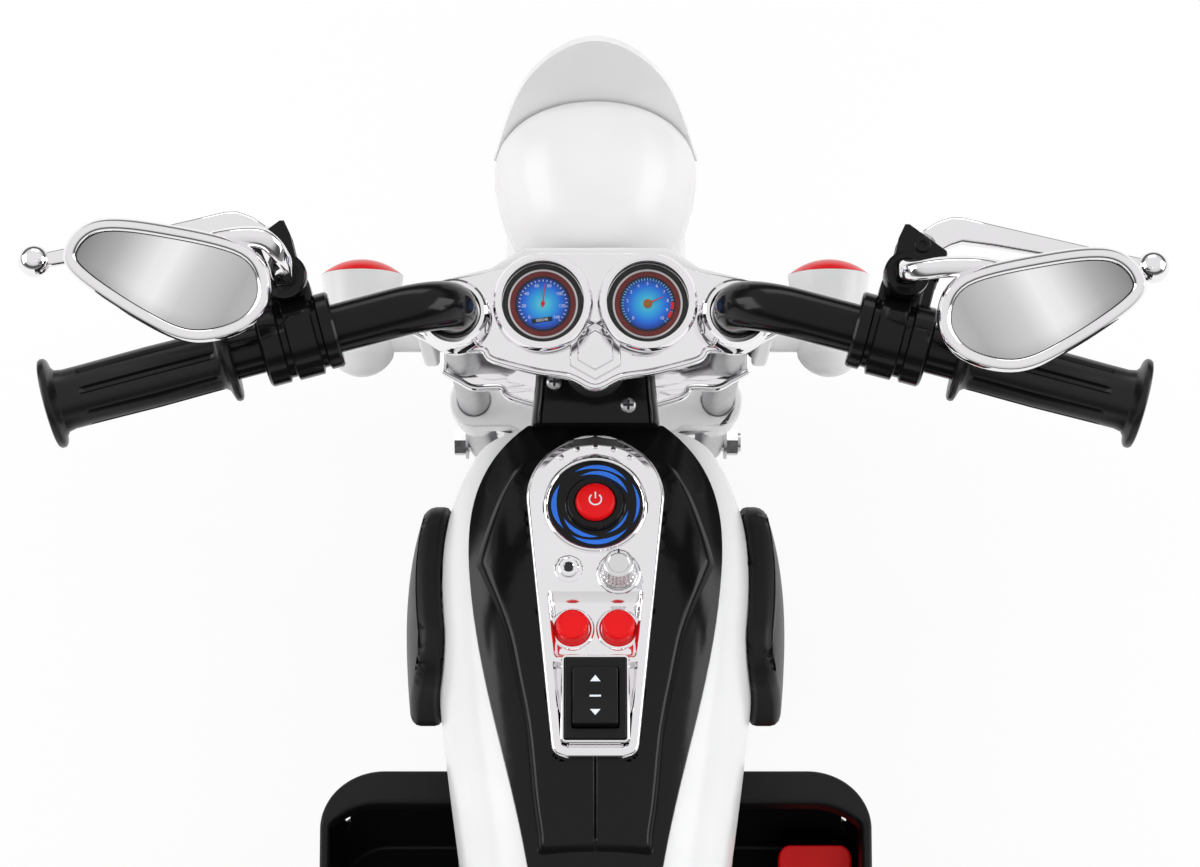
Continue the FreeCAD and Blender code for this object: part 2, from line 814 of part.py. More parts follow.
# Headlamp: a white bowl with a rolled rim, a plated reflector and a clear lens. Its axis points forward.
lamp_frame = spot(0, "lamp_y", "lamp_z", ABOUT_X, -90)
bowl_depth = "lamp_length - lens_seat"
keep("headlamp_bowl", turned("HeadlampBowl", [
    (0, 0),
    ("lamp_foot", 0, "lamp_bulge"),
    ("lamp_radius", "lamp_length - lamp_rim", "lamp_rim"),
    ("lamp_radius - lamp_rim / 4", "lamp_length"),
    ("lens_radius + seat_gap", "lamp_length"),
    ("lens_radius + seat_gap", bowl_depth, "-lamp_bulge"),
    ("lamp_foot - wall", "wall * 2"),
    (0, "wall * 2"),
]), lamp_frame)
keep("headlamp_reflector", turned("HeadlampReflector", [
    (0, "wall * 2"),
    ("reflector_throat", "wall * 2", "lamp_bulge"),
    ("lens_radius - wall", f"{bowl_depth} - wall / 2"),
    ("lens_radius - wall / 3", f"{bowl_depth} - wall / 2"),
    ("lens_radius - wall / 3", bowl_depth),
    ("lens_radius - wall", bowl_depth, "-lamp_bulge"),
    ("reflector_throat", "wall * 3"),
    (0, "wall * 3"),
]), lamp_frame)
keep("headlamp_lens", turned("HeadlampLens", [
    (0, bowl_depth),
    ("lens_radius", bowl_depth),
    ("lens_radius", "lamp_length", dome("lens_radius", "lens_bulge")),
    (0, "lamp_length + lens_bulge"),
]), lamp_frame)

# Fly-screen: a white moulded shield on the lamp's rim, pointed like a leaf and slightly bowed.
screen_base = value("lamp_z")
half = value("screen_half_width")
height = value("screen_top") - screen_base
LEAF = ((1.0, 0.0), (0.79, 0.49), (0.39, 0.89), (0.0, 1.0), (-0.39, 0.89), (-0.79, 0.49), (-1.0, 0.0))
leaf_points = [Vector(half * across, 0, screen_base + height * up) for across, up in LEAF]
leaf = Part.Wire([Part.makeLine(leaf_points[-1], leaf_points[0]), smooth_wire(leaf_points)])
curve = value("screen_curve")
front_face = value("lamp_front + screen_half_width ^ 2 / screen_curve / 2 + seat_gap + wall")
leaf_block = Part.Face(leaf).extrude(Vector(0, curve, 0))
leaf_block.translate(Vector(0, value("lamp_y"), 0))
outer_bow = Part.makeCylinder(curve, 2 * height, Vector(0, front_face - curve, screen_base))
inner_bow = Part.makeCylinder(curve - value("wall"), 2 * height, Vector(0, front_face - curve, screen_base))
lens_room = value("lens_radius + seat_gap")
aperture = Part.makeCylinder(lens_room, curve, Vector(0, 0, screen_base), Vector(0, 1, 0))
keep("fly_screen", solid(leaf_block.common(outer_bow.cut(inner_bow)).cut(aperture), "FlyScreen"))

# Fork cowl: a white moulding that wraps the fork tops and carries the headlamp and the indicator arms.
cheek_in = "clamp_half_width - cowl_cheek"
wrap = padded("CowlWrap", [
    ("-clamp_half_width", "-cowl_back"), (f"-({cheek_in})", "-cowl_back"),
    (f"-({cheek_in})", "clamp_front + seat_gap"), (cheek_in, "clamp_front + seat_gap"),
    (cheek_in, "-cowl_back"), ("clamp_half_width", "-cowl_back"),
    ("clamp_half_width", "cowl_shoulder"), ("cowl_bend", "cowl_bend_front"), ("cowl_nose", "cowl_front"),
    ("-cowl_nose", "cowl_front"), ("-cowl_bend", "cowl_bend_front"), ("-clamp_half_width", "cowl_shoulder")],
    "clamp_high - cowl_low", offset="cowl_low")
lamp_room = rod("lamp_radius + seat_gap", (0, "lamp_y - seat_gap", "lamp_z"), "lamp_length * 2", "y")
keep("fork_cowl", cut(put(FORK, wrap), lamp_room))

# Indicator lamps: white bullets on short arms, tapered to the rear, each with a red lens in front.
housings = []
lenses = []
arm_starts = (("-", "-clamp_half_width - seat_gap - indicator_radius"), ("", "clamp_half_width + seat_gap"))
for sign, inner in arm_starts:
    place = spot(f"{sign}indicator_out", "indicator_forward", "indicator_up", ABOUT_X, -90)
    bullet = bind(turned("Bullet", [
        (0, "-indicator_back", dome("indicator_waist", "indicator_back - indicator_drum")),
        ("indicator_waist", "-indicator_drum"),
        ("indicator_radius", "indicator_front"),
        (0, "indicator_front")]), Placement=place)
    arm = rod("indicator_arm", (inner, "indicator_forward", "indicator_up"), "indicator_radius", "x")
    housings.append(fuse(bullet, arm))
    lenses.append(bind(turned("IndicatorLens", [
        (0, "indicator_front + seat_gap"),
        ("indicator_radius", "indicator_front + seat_gap", dome("indicator_radius", "indicator_lens")),
        (0, "indicator_front + seat_gap + indicator_lens")]), Placement=place))
keep("indicator_housings", group(*housings), FORK)
keep("indicator_lenses", group(*lenses), FORK)

# Twin gauges: chrome cups on the top clamp, printed dials and clear covers.
gauge_floor = "clamp_face + gauge_height - gauge_depth"
cups = []
dials = []
covers = []
for sign in ("-", ""):
    place = spot(f"{sign}gauge_half", "gauge_forward", 0)
    cups.append(bind(turned("GaugeCup", [
        (0, "clamp_face"),
        ("gauge_foot", "clamp_face", "gauge_height"),
        ("gauge_radius", "clamp_face + gauge_height - gauge_web"),
        ("gauge_radius", "clamp_face + gauge_height - wall", "wall"),
        ("gauge_radius - wall", "clamp_face + gauge_height"),
        ("gauge_window", "clamp_face + gauge_height"),
        ("gauge_window", gauge_floor),
        (0, gauge_floor)]), Placement=place))
    dials.append(rod("gauge_window - seat_gap", (f"{sign}gauge_half", "gauge_forward", gauge_floor), "dial"))
    covers.append(rod("gauge_window - seat_gap", (f"{sign}gauge_half", "gauge_forward",
                      "clamp_face + gauge_height - wall"), "gauge_cover"))
bridge = box(("-gauge_half", "gauge_half"),
             ("gauge_forward - gauge_web", "gauge_forward + gauge_web"), ("clamp_face", gauge_floor))
keep("gauge_housing", fuse(*cups, bridge), FORK)
keep("gauge_dials", group(*dials), FORK)
keep("gauge_lenses", group(*covers), FORK)

# Handlebars: one bent tube on each side, held in the top clamp's socket. A grip is pushed on each end.
bars = []
grips = []
for side in SIDES:
    body = new_body("Bar")
    section = ring(body, "XY_Plane", "bar_radius", offset="-bar_rise")
    section.addGeometry(Part.Circle(Vector(), Vector(0, 0, 1), value("bar_radius - bar_wall")))
    section.addConstraint(Sketcher.Constraint("Coincident", 1, 3, -1, 1))
    number = section.addConstraint(Sketcher.Constraint("Radius", 1, value("bar_radius - bar_wall")))
    section.setExpression(f"Constraints[{number}]", cells("bar_radius - bar_wall"))
    path = outline(body, "XZ_Plane", [(0, "-bar_rise"), (0, "-bar_bend", "-bar_bend"), ("bar_bend", 0),
                                      ("bar_reach", 0)])
    path.delGeometries([3])
    pipe = body.newObject("PartDesign::AdditivePipe", "Pipe")
    pipe.Profile = section
    pipe.Spine = (path, ["Edge1", "Edge2", "Edge3"])
    bars.append(on_side(side, bind(body, Placement=BAR)))
    grip = turned("Grip", [
        ("grip_start", "bar_radius + seat_gap"),
        ("bar_reach + seat_gap", "bar_radius + seat_gap"),
        ("bar_reach + seat_gap", 0),
        ("grip_end", 0),
        ("grip_end", "grip_flange_radius"),
        ("grip_end - grip_flange", "grip_flange_radius"),
        ("grip_end - grip_flange", "grip_radius"),
        ("grip_start + grip_flange", "grip_radius"),
        ("grip_start + grip_flange", "grip_flange_radius"),
        ("grip_start", "grip_flange_radius")], "H_Axis")
    grips.append(on_side(side, bind(grip, Placement=BAR)))
keep("handlebars", group(*bars))
keep("grips", group(*grips))

# Control clamps: black rings on the bars with a forked perch and pin for the lever, and a mirror socket.
perch_low = "-pivot_drop - lever_thickness / 2 - run_gap - perch_plate"
perch_high = "-pivot_drop + lever_thickness / 2 + run_gap + perch_plate"
perch_x = ("pivot_along - perch_half_width", "pivot_along + perch_half_width")
fork_root = "pivot_forward - lever_root - run_gap"
perch_in, perch_out = perch_x
perch_points = [(perch_in, fork_root), (perch_out, fork_root),
                (perch_out, "pivot_forward - perch_shoulder"), (perch_in, "pivot_forward + perch_nose")]
control_in = "control_middle - control_length / 2"
for side in SIDES:
    collar = rod("control_radius", (control_in, 0, 0), "control_length", "x")
    perch = box(perch_x, (0, fork_root), (perch_low, perch_high))
    plates = [padded("PerchPlate", perch_points, "perch_plate", offset=low)
              for low in (perch_low, f"{perch_high} - perch_plate")]
    pin = rod("pivot_pin", ("pivot_along", "pivot_forward", perch_low), f"({perch_high}) - ({perch_low})")
    boss = rod("mirror_socket_radius", ("mirror_along", "mirror_socket_forward", "-control_radius / 2"),
               "mirror_socket_top + control_radius / 2")
    bore = rod("bar_radius + seat_gap", ("control_middle - control_length", 0, 0), "control_length * 2", "x")
    socket = rod("mirror_pin + fit_gap", ("mirror_along", "mirror_socket_forward",
                 "mirror_socket_top - mirror_pin_depth"), "mirror_pin_depth")
    clamp = cut(fuse(collar, perch, *plates, pin, boss), bore, socket)
    keep(f"control_clamp_{side}", on_side(side, bind(clamp, Placement=control_frame(side))))

# Brake levers: plated, on the perch pin, swinging towards the grip, with a ball at the end.
lever_frame_tail = " * " + spot("pivot_along", "pivot_forward", "-pivot_drop", turn="lever_splay")
for side in SIDES:
    blade = padded("LeverBlade", [
        (0, "lever_root", "lever_root"),
        ("-lever_root", 0, "lever_root"),
        (0, "-lever_root"),
        ("lever_knee", "lever_bow - lever_width / 2"),
        ("lever_reach", "-lever_tip_width / 2"),
        ("lever_reach", "lever_tip_width / 2"),
        ("lever_knee", "lever_bow + lever_width / 2")], "lever_thickness", both_sides=True)
    ball = doc.addObject("Part::Sphere", "Ball")
    bind(ball, Radius="lever_ball", Placement=spot("lever_reach", 0, 0))
    eye = rod("pivot_pin + fit_gap", (0, 0, "-lever_thickness"), "lever_thickness * 2")
    lever = bind(cut(fuse(blade, ball), eye), Placement=control_frame(side) + lever_frame_tail)
    keep(f"lever_{side}", on_side(side, lever))

# Mirrors: a plated teardrop shell with a glass let into its face, on an arm that turns in the clamp's socket.
TEARDROP = ((-0.97, -0.2), (-0.78, 0.5), (0.08, 0.9), (0.73, 1.0), (1.0, 0.65), (0.93, 0.25), (0.3, -0.55),
            (-0.24, -0.98), (-0.76, -0.78))


def teardrop(grow, depth, share=1.0):
    """The mirror's outline, grown by a border and set back from its face."""
    across = value("mirror_half_length")
    up = value("mirror_half_height")
    points = []
    for at, rise in TEARDROP:
        x = share * (at * across + math.copysign(grow, at))
        y = share * (rise * up + math.copysign(grow, rise))
        points.append(Vector(x, y, depth))
    return Part.Wire([smooth_wire(points, True)])


for side in SIDES:
    border = value("mirror_border")
    depth = value("mirror_depth")
    glass_depth = value("mirror_glass")
    back_share = value("mirror_back_share")
    rings = [teardrop(border, 0), teardrop(border, -depth / 3), teardrop(border, -depth, back_share)]
    shell = Part.makeLoft(rings, True)
    glass = Part.Face(teardrop(0, -glass_depth)).extrude(Vector(0, 0, glass_depth))
    glass_seat = Part.Face(teardrop(value("seat_gap"), -glass_depth)).extrude(Vector(0, 0, 2 * glass_depth))
    face = value(FORK + " * " + spot(f"mirror_{side}_x", f"mirror_{side}_forward", f"mirror_{side}_up",
                                     ABOUT_X, "mirror_pitch"))
    for form in (shell, glass, glass_seat):
        form.Placement = face
    socket_mouth = spot("mirror_along", "mirror_socket_forward", "mirror_socket_top")
    stem = value(control_frame(side) + " * " + socket_mouth)
    pin_depth = value("mirror_pin_depth - run_gap")
    knuckle = value("mirror_arm * 2")
    post = Part.makeCylinder(value("mirror_pin"), pin_depth + knuckle, Vector(0, 0, -pin_depth))
    post.Placement = stem
    root = stem.multVec(Vector(0, 0, knuckle))
    tip = face.multVec(Vector(-value("mirror_half_length") / 2, 0, -depth / 2))
    arm = Part.makeCylinder(value("mirror_arm"), (tip - root).Length, root, tip - root)
    elbow = Part.makeSphere(value("mirror_arm"), root)
    shell = shell.cut(glass_seat).fuse([post, arm.cut(glass_seat), elbow]).removeSplitter()
    for label, form in (("mirror_shell", shell), ("mirror_glass", glass)):
        if side == "left":
            form = form.mirror(Vector(), Vector(1, 0, 0))
        keep(f"{label}_{side}", solid(form, label))

# Frame: a head tube for the stem, welded to a backbone that stands on the front of the tub.
stem_low = "clamp_low + clamp_plate + run_gap"
stem_high = "clamp_high - run_gap"


def on_stem(up):
    """A point of the stem's line as forward and height formulas."""
    return (f"front_axle_y - steer_offset * cos(rake) - ({up}) * sin(rake)",
            f"fork_base - steer_offset * sin(rake) + ({up}) * cos(rake)")


stem_foot = (0, "-steer_offset", stem_low)
head_tube = put(FORK, rod("head_tube_radius", stem_foot, f"({stem_high}) - ({stem_low})"))
head_bore = put(FORK, rod("stem_radius + fit_gap", stem_foot, f"({stem_high}) - ({stem_low})"))
backbone = padded("Backbone", [
    ("block_y", "chassis_top"), ("chassis_front", "chassis_top"),
    on_stem(f"{stem_low} + 2 * head_tube_radius"), on_stem("neck_top - head_tube_radius"),
    ("block_y", "frame_back_z")],
    "frame_half * 2", "YZ_Plane", both_sides=True)
keep("main_frame", cut(fuse(head_tube, backbone), head_bore))

# Chassis: an open moulded tub with a solid front block. The rear axle and the motor shaft pass its walls.
chassis = padded("Chassis", [
    ("chassis_rear", "chassis_floor"), ("chassis_front - chassis_chamfer", "chassis_floor"),
    ("chassis_front", "chassis_floor + chassis_chamfer"), ("chassis_front", "chassis_top"),
    ("chassis_step", "chassis_top"), ("chassis_step", "rear_top"), ("chassis_rear", "rear_top")],
    "chassis_half * 2", "YZ_Plane", both_sides=True)
pocket(chassis, outline(chassis, "YZ_Plane", [
    ("chassis_rear + chassis_wall", "tub_floor"), ("block_y", "tub_floor"), ("block_y", "chassis_top * 2"),
    ("chassis_rear + chassis_wall", "chassis_top * 2")]), "(chassis_half - chassis_wall) * 2")
pocket(chassis, ring(chassis, "YZ_Plane", "rear_axle_radius + seat_gap", "rear_axle_y", "rear_wheel_radius"),
       "chassis_half * 4")
pocket(chassis, ring(chassis, "YZ_Plane", "shaft_radius + run_gap", "pinion_y", "rear_wheel_radius"),
       "chassis_half * 2", False, True)
keep("chassis", chassis)

# Neck cover: a black hood over the head tube, with two screws in its lid.
hood = put(FORK, box(("-neck_half", "neck_half"),
                     ("-steer_offset - neck_back", "-steer_offset + head_tube_radius + wall"),
                     ("neck_top - neck_height", "neck_top")))
tube_room = put(FORK, rod("head_tube_radius + seat_gap", (0, "-steer_offset", 0), "clamp_high"))
spine_room = put(FORK, box(("-frame_half - seat_gap", "frame_half + seat_gap"), ("-neck_back * 4", 0),
                           ("yoke_high", "neck_top - neck_lid")))
tank_room = box(("-fork_half", "fork_half"), ("-front_axle_y", "tank_neck_y + seat_gap"), (0, "lamp_z * 2"))
screw_places = (("-screw_spread", "-steer_offset - screw_radius * 2"),
                ("screw_spread - screw_radius", "-steer_offset - head_tube_radius - screw_radius"))
screw_holes = [put(FORK, rod("screw_shank + seat_gap", (*place, "neck_top - screw_length"), "screw_length"))
               for place in screw_places]
keep("neck_cover", cut(hood, tube_room, spine_room, tank_room, *screw_holes))
screws = []
for place in screw_places:
    head = rod("screw_radius", (*place, "neck_top"), "screw_head")
    screws.append(fuse(head, rod("screw_shank", (*place, "neck_top - screw_length"), "screw_length")))
keep("body_screws", group(*screws), FORK)

# Tank: an arch of moulded covers over the frame. The black top lies between the two white sides.
TANK = ("neck", "shoulder", "front", "middle", "waist", "tail")
CROWN_SHARE = 0.79
WIDEST_SHARE = 0.55


def arch_section(y, half_width, top, foot_half, foot, crown_drop):
    """One cross-section of an arch: a smooth line over the top, closed by a straight foot."""
    middle = foot + WIDEST_SHARE * (top - foot)
    side = [Vector(half_width * CROWN_SHARE, y, top - crown_drop), Vector(half_width, y, middle),
            Vector(foot_half, y, foot)]
    far_side = [Vector(-point.x, point.y, point.z) for point in reversed(side)]
    line = smooth_wire(far_side + [Vector(0, y, top)] + side)
    return Part.Wire([line, Part.makeLine(side[-1], far_side[0])])


def tank_form(grow=0.0, rise=0.0, drop=0.0, ahead=0.0, behind=0.0):
    """The tank's outer form, grown sideways, upwards, below its foot or past its ends."""
    stations = []
    for number, name in enumerate(TANK):
        push = {0: ahead, len(TANK) - 1: -behind}.get(number, 0.0)
        half_width = value(f"tank_{name}_half") + grow
        foot_half = min(value("tank_foot_neck" if name == "neck" else "tank_foot") + grow, half_width)
        top = value(f"tank_{name}_top") + rise
        stations.append(arch_section(value(f"tank_{name}_y") + push, half_width, top, foot_half,
                                     value("chassis_top") - drop, value("tank_crown_drop")))
    return Part.makeLoft(stations, True)


def cover_block(grow=0.0):
    """An upright block with the black top's outline, seen from above."""
    right = [Vector(value(f"cover_{name}_half") + grow, value(f"tank_{name}_y"), 0) for name in TANK]
    right[0].y += value("wall")
    right[-1].y -= value("wall")
    left = [Vector(-point.x, point.y, 0) for point in reversed(right)]
    plan = Part.Wire([smooth_wire(right), Part.makeLine(right[-1], left[0]), smooth_wire(left),
                      Part.makeLine(left[-1], right[0])])
    return Part.Face(plan).extrude(Vector(0, 0, value("tank_neck_top") * 2))


wall = value("wall")
hollow = tank_form(-wall, -wall, wall, -wall, wall)
slot_half = value("frame_half + seat_gap")
frame_slot = Part.makeBox(2 * slot_half, 3 * wall, value("tank_neck_top - chassis_top"),
                          Vector(-slot_half, value("tank_neck_y") - 2 * wall, value("chassis_top") - wall))
panel_points = [
    ("-panel_front_half", "panel_length / 2 - panel_front_half"),
    ("-panel_back_half", "-panel_length / 2 + panel_corner", "panel_corner"),
    ("-panel_back_half + panel_corner", "-panel_length / 2"),
    ("panel_back_half - panel_corner", "-panel_length / 2", "panel_corner"),
    ("panel_back_half", "-panel_length / 2 + panel_corner"),
    ("panel_front_half", "panel_length / 2 - panel_front_half", "panel_front_half"),
    (0, "panel_length / 2", "panel_front_half")]


def grown(points, gap):
    """A symmetric outline with its points moved outwards by a gap."""
    wider = []
    for across, up, *radius in points:
        moved = [f"({text}) + {gap} * {sign_of(value(text))}" for text in (across, up)]
        wider.append((*moved, *(f"({size}) + {gap}" for size in radius)))
    return wider


def sign_of(number):
    return (number > 0) - (number < 0)


opening = padded("PanelOpening", grown(panel_points, "seat_gap"), "panel_skirt * 6", both_sides=True)
put(PANEL, opening)
black_top = tank_form(0.0, value("cover_rise")).cut(hollow).common(cover_block()).cut(frame_slot)
keep("tank_top", cut(solid(black_top, "TankTop"), opening))
sides = tank_form().cut(hollow).cut(cover_block(value("seat_gap")))
keep("tank_sides", solid(sides, "TankSides"))
pad_seat = tank_form(value("seat_gap"), 0.0, wall, wall, wall)
pads = tank_form(value("pad_thickness")).cut(pad_seat).cut(tank_form())
pad_reach = value("board_out")
pad_corner = Vector(-pad_reach, value("pad_back_y"), value("pad_low_z"))
pad_length = value("pad_front_y - pad_back_y")
pad_block = Part.makeBox(2 * pad_reach, pad_length, value("pad_high_z - pad_low_z"), pad_corner)
cross_edges = [edge for edge in pad_block.Edges if along(edge, Vector(1, 0, 0))]
pad_block = pad_block.makeFillet(value("pad_round"), cross_edges)
keep("knee_pads", solid(pads.common(pad_block), "KneePads"))

# Console: a plated tray let into the tank's top, holding the start dish, buttons, socket, knob and switch.
tray = padded("Console", panel_points, "panel_skirt", offset="panel_plate - panel_skirt")
hollow_end = "panel_length / 2 - panel_hollow_end"
pocket(tray, outline(tray, "XY_Plane", [
    ("-panel_hollow_half", f"-({hollow_end})"), ("panel_hollow_half", f"-({hollow_end})"),
    ("panel_hollow_half", hollow_end), ("-panel_hollow_half", hollow_end)]), "panel_skirt", False, False)
console_holes = (
    (0, "dish_u", "start_radius + fit_gap"),
    ("socket_x", "socket_u", "jack_barrel + seat_gap"),
    ("knob_x", "knob_u", "knob_shaft + fit_gap"),
    ("button_x", "button_u", "button_radius + fit_gap"),
    ("-button_x", "button_u", "button_radius + fit_gap"))
for x, u, radius in console_holes:
    pocket(tray, ring(tray, "XY_Plane", radius, x, u), "panel_skirt * 4")
room_x = "(switch_body_half_width + seat_gap)"
room_u = "(switch_body_half_length + seat_gap)"
switch_room = [(f"-{room_x}", f"switch_u - {room_u}"), (room_x, f"switch_u - {room_u}"),
               (room_x, f"switch_u + {room_u}"), (f"-{room_x}", f"switch_u + {room_u}")]
pocket(tray, outline(tray, "XY_Plane", switch_room), "panel_skirt * 4")
keep("console_panel", tray, PANEL)
dish = cut(fuse(rod("dish_radius", (0, "dish_u", "panel_plate"), "dish_plate"),
                rod("dish_ring_radius", (0, "dish_u", "panel_plate"), "dish_ring")),
           rod("start_radius + fit_gap", (0, "dish_u", 0), "panel_skirt"))
keep("start_dish", dish, PANEL)


def push_button(label, radius, x, u, proud):
    """A round red cap that slides straight into the console."""
    body = turned("Button", [
        (0, f"panel_plate + ({proud}) - button_depth"), (radius, f"panel_plate + ({proud}) - button_depth"),
        (radius, f"panel_plate + ({proud}) - wall / 3", "wall / 3"),
        (f"({radius}) - wall / 3", f"panel_plate + ({proud})"), (0, f"panel_plate + ({proud})")])
    keep(label, body, PANEL + " * " + spot(x, u, 0))


push_button("start_button", "start_radius", 0, "dish_u", "start_proud")
push_button("horn_button", "button_radius", "-button_x", "button_u", "button_proud")
push_button("music_button", "button_radius", "button_x", "button_u", "button_proud")
keep("audio_jack", turned("AudioJack", [
    ("jack_bore", "panel_plate + jack_rim - jack_depth"),
    ("jack_barrel", "panel_plate + jack_rim - jack_depth"),
    ("jack_barrel", "panel_plate"), ("jack_flange", "panel_plate"), ("jack_flange", "panel_plate + jack_rim"),
    ("jack_bore", "panel_plate + jack_rim")]), PANEL + " * " + spot("socket_x", "socket_u", 0))
keep("volume_knob", turned("VolumeKnob", [
    (0, "panel_plate - panel_skirt"), ("knob_shaft", "panel_plate - panel_skirt"),
    ("knob_shaft", "panel_plate + run_gap"),
    ("knob_radius", "panel_plate + run_gap"), ("knob_radius - wall / 4", "panel_plate + knob_height"),
    (0, "panel_plate + knob_height")]), PANEL + " * " + spot("knob_x", "knob_u", 0))

# Rocker switch: a black housing clipped through the console, with a rocker on two moulded pins.
bezel = box(("-switch_half_width", "switch_half_width"),
            ("switch_u - switch_half_length", "switch_u + switch_half_length"),
            ("panel_plate", "panel_plate + switch_bezel"))
can = box(("-switch_body_half_width", "switch_body_half_width"),
          ("switch_u - switch_body_half_length", "switch_u + switch_body_half_length"),
          ("panel_plate - switch_depth", "panel_plate"))
well = box(("-rocker_half_width - run_gap", "rocker_half_width + run_gap"),
           ("switch_u - rocker_half_length - 2 * run_gap", "switch_u + rocker_half_length + 2 * run_gap"),
           ("panel_plate - switch_depth + wall", "panel_plate + switch_depth"))
pin_start = ("-switch_body_half_width", "switch_u", "panel_plate")
pins = rod("rocker_pin", pin_start, "switch_body_half_width * 2", "x")
keep("switch_housing", fuse(cut(fuse(bezel, can), well), pins), PANEL)
rocker_frame = PANEL + " * " + spot(0, "switch_u", "panel_plate")
rocker_block = padded("Rocker", [
    ("-rocker_half_length", "-rocker_thickness / 2"), ("rocker_half_length", "-rocker_thickness / 2"),
    ("rocker_half_length", "rocker_thickness"), (0, "rocker_thickness - rocker_dip"),
    ("-rocker_half_length", "rocker_thickness")], "rocker_half_width * 2", "YZ_Plane", both_sides=True)
rocker_eye = rod("rocker_pin + fit_gap", ("-rocker_half_width", 0, 0), "rocker_half_width * 2", "x")
keep("switch_rocker", cut(rocker_block, rocker_eye), rocker_frame)

# Footboards: black trays bolted to the tub's sides, with a high front wall and a slot. The right one
# carries the accelerator pedal between two ears.
for side in SIDES:
    tray = padded("Footboard", [
        ("chassis_half", "board_back_y"), ("board_out", "board_back_y"),
        ("board_out", "board_front_y - board_corner", "board_corner"),
        ("board_out - board_corner", "board_front_y"), ("chassis_half", "board_front_y")],
        "board_top - board_floor", offset="board_floor")
    under_ledge = "board_top - board_ledge_plate"
    for front_wall, corner, low, high in (
            ("board_wall", "board_corner - board_wall", "board_deck", under_ledge),
            ("board_ledge", "board_corner", under_ledge, "board_top * 2")):
        side_x = "board_out - board_wall"
        front_y = f"board_front_y - {front_wall}"
        round_x = "board_out - board_corner"
        round_y = "board_front_y - board_corner"
        well = outline(tray, "XY_Plane", [
            ("chassis_half / 2", "board_back_y * 2"), (side_x, "board_back_y * 2"),
            (side_x, round_y, corner), (round_x, front_y), ("chassis_half / 2", front_y)], low)
        pocket(tray, well, f"({high}) - ({low})", False, True)
    pocket(tray, outline(tray, "YZ_Plane", [
        ("board_back_y * 2", "board_side_top"), ("board_back_y / 2", "board_side_top"),
        ("board_front_y - board_corner", "board_top"), ("board_front_y - board_corner", "board_top * 2"),
        ("board_back_y * 2", "board_top * 2")]), "board_out * 4")
    slot = box(("board_out - slot_inset - slot_half_width", "board_out - slot_inset + slot_half_width"),
               ("board_front_y - board_ledge - board_wall", "board_front_y + board_wall"),
               ("board_deck + slot_up - slot_half_length", "board_deck + slot_up + slot_half_length"))
    tray = cut(tray, slot)
    if side == "right":
        ear_y = ("pedal_pivot_y - pedal_hub", "pedal_pivot_y + pedal_hub")
        ear_z = ("board_deck", "pedal_pivot_z + pedal_hub")
        near = "pedal_x - pedal_half_width - run_gap"
        far = "pedal_x + pedal_half_width + run_gap"
        ears = [box((f"{near} - pedal_ear", near), ear_y, ear_z),
                box((far, f"{far} + pedal_ear"), ear_y, ear_z)]
        pin = rod("pedal_pin", ("pedal_x - pedal_half_width - pedal_ear", "pedal_pivot_y", "pedal_pivot_z"),
                  "(pedal_half_width + pedal_ear) * 2", "x")
        tray = fuse(tray, *ears, pin)
    keep(f"footboard_{side}", on_side(side, tray))

pedal_hub = rod("pedal_hub", ("-pedal_half_width", 0, 0), "pedal_half_width * 2", "x")
pedal_plate = padded("PedalPlate", [
    (0, "-pedal_thickness / 2"), ("pedal_length", "-pedal_thickness / 2 + pedal_rise"),
    ("pedal_length", "pedal_thickness / 2 + pedal_rise"), (0, "pedal_thickness / 2")],
    "pedal_half_width * 2", "YZ_Plane", both_sides=True)
rounded(pedal_plate, "pedal_corner",
        lambda edge: along(edge, Vector(0, 0, 1)) and edge.CenterOfMass.y > value("pedal_length / 2"))
pedal_eye = rod("pedal_pin + fit_gap", ("-pedal_half_width", 0, 0), "pedal_half_width * 2", "x")
keep("pedal", cut(fuse(pedal_hub, pedal_plate), pedal_eye), spot("pedal_x", "pedal_pivot_y", "pedal_pivot_z"))

# Rear axle: a steel rod through the tub, with spacers against the wheels and a nut on each end.
rear_line = ("rear_axle_y", "rear_wheel_radius")
nut_start = "hub_out + run_gap"
axle_half = f"{nut_start} + bolt_head + washer"
axle_parts = [rod("rear_axle_radius", (f"-({axle_half})", *rear_line), f"2 * ({axle_half})", "x")]
for start, length in ((nut_start, "bolt_head"), (f"-({nut_start}) - bolt_head", "bolt_head")):
    nut = hexagon("bolt_flats + rear_axle_radius", (start, *rear_line), length, "x")
    axle_parts.append(cut(nut, rod("rear_axle_radius + seat_gap", (start, *rear_line), length, "x")))
gearbox_back = "chassis_half + wall"
for start, length in (("-hub_in + run_gap", "hub_in - run_gap - chassis_half - seat_gap"),
                      (f"{gearbox_back} + seat_gap", f"gear_in - run_gap - ({gearbox_back}) - seat_gap")):
    sleeve = rod("spacer_radius", (start, *rear_line), length, "x")
    axle_parts.append(cut(sleeve, rod("rear_axle_radius + seat_gap", (start, *rear_line), length, "x")))
keep("rear_axle", group(*axle_parts))


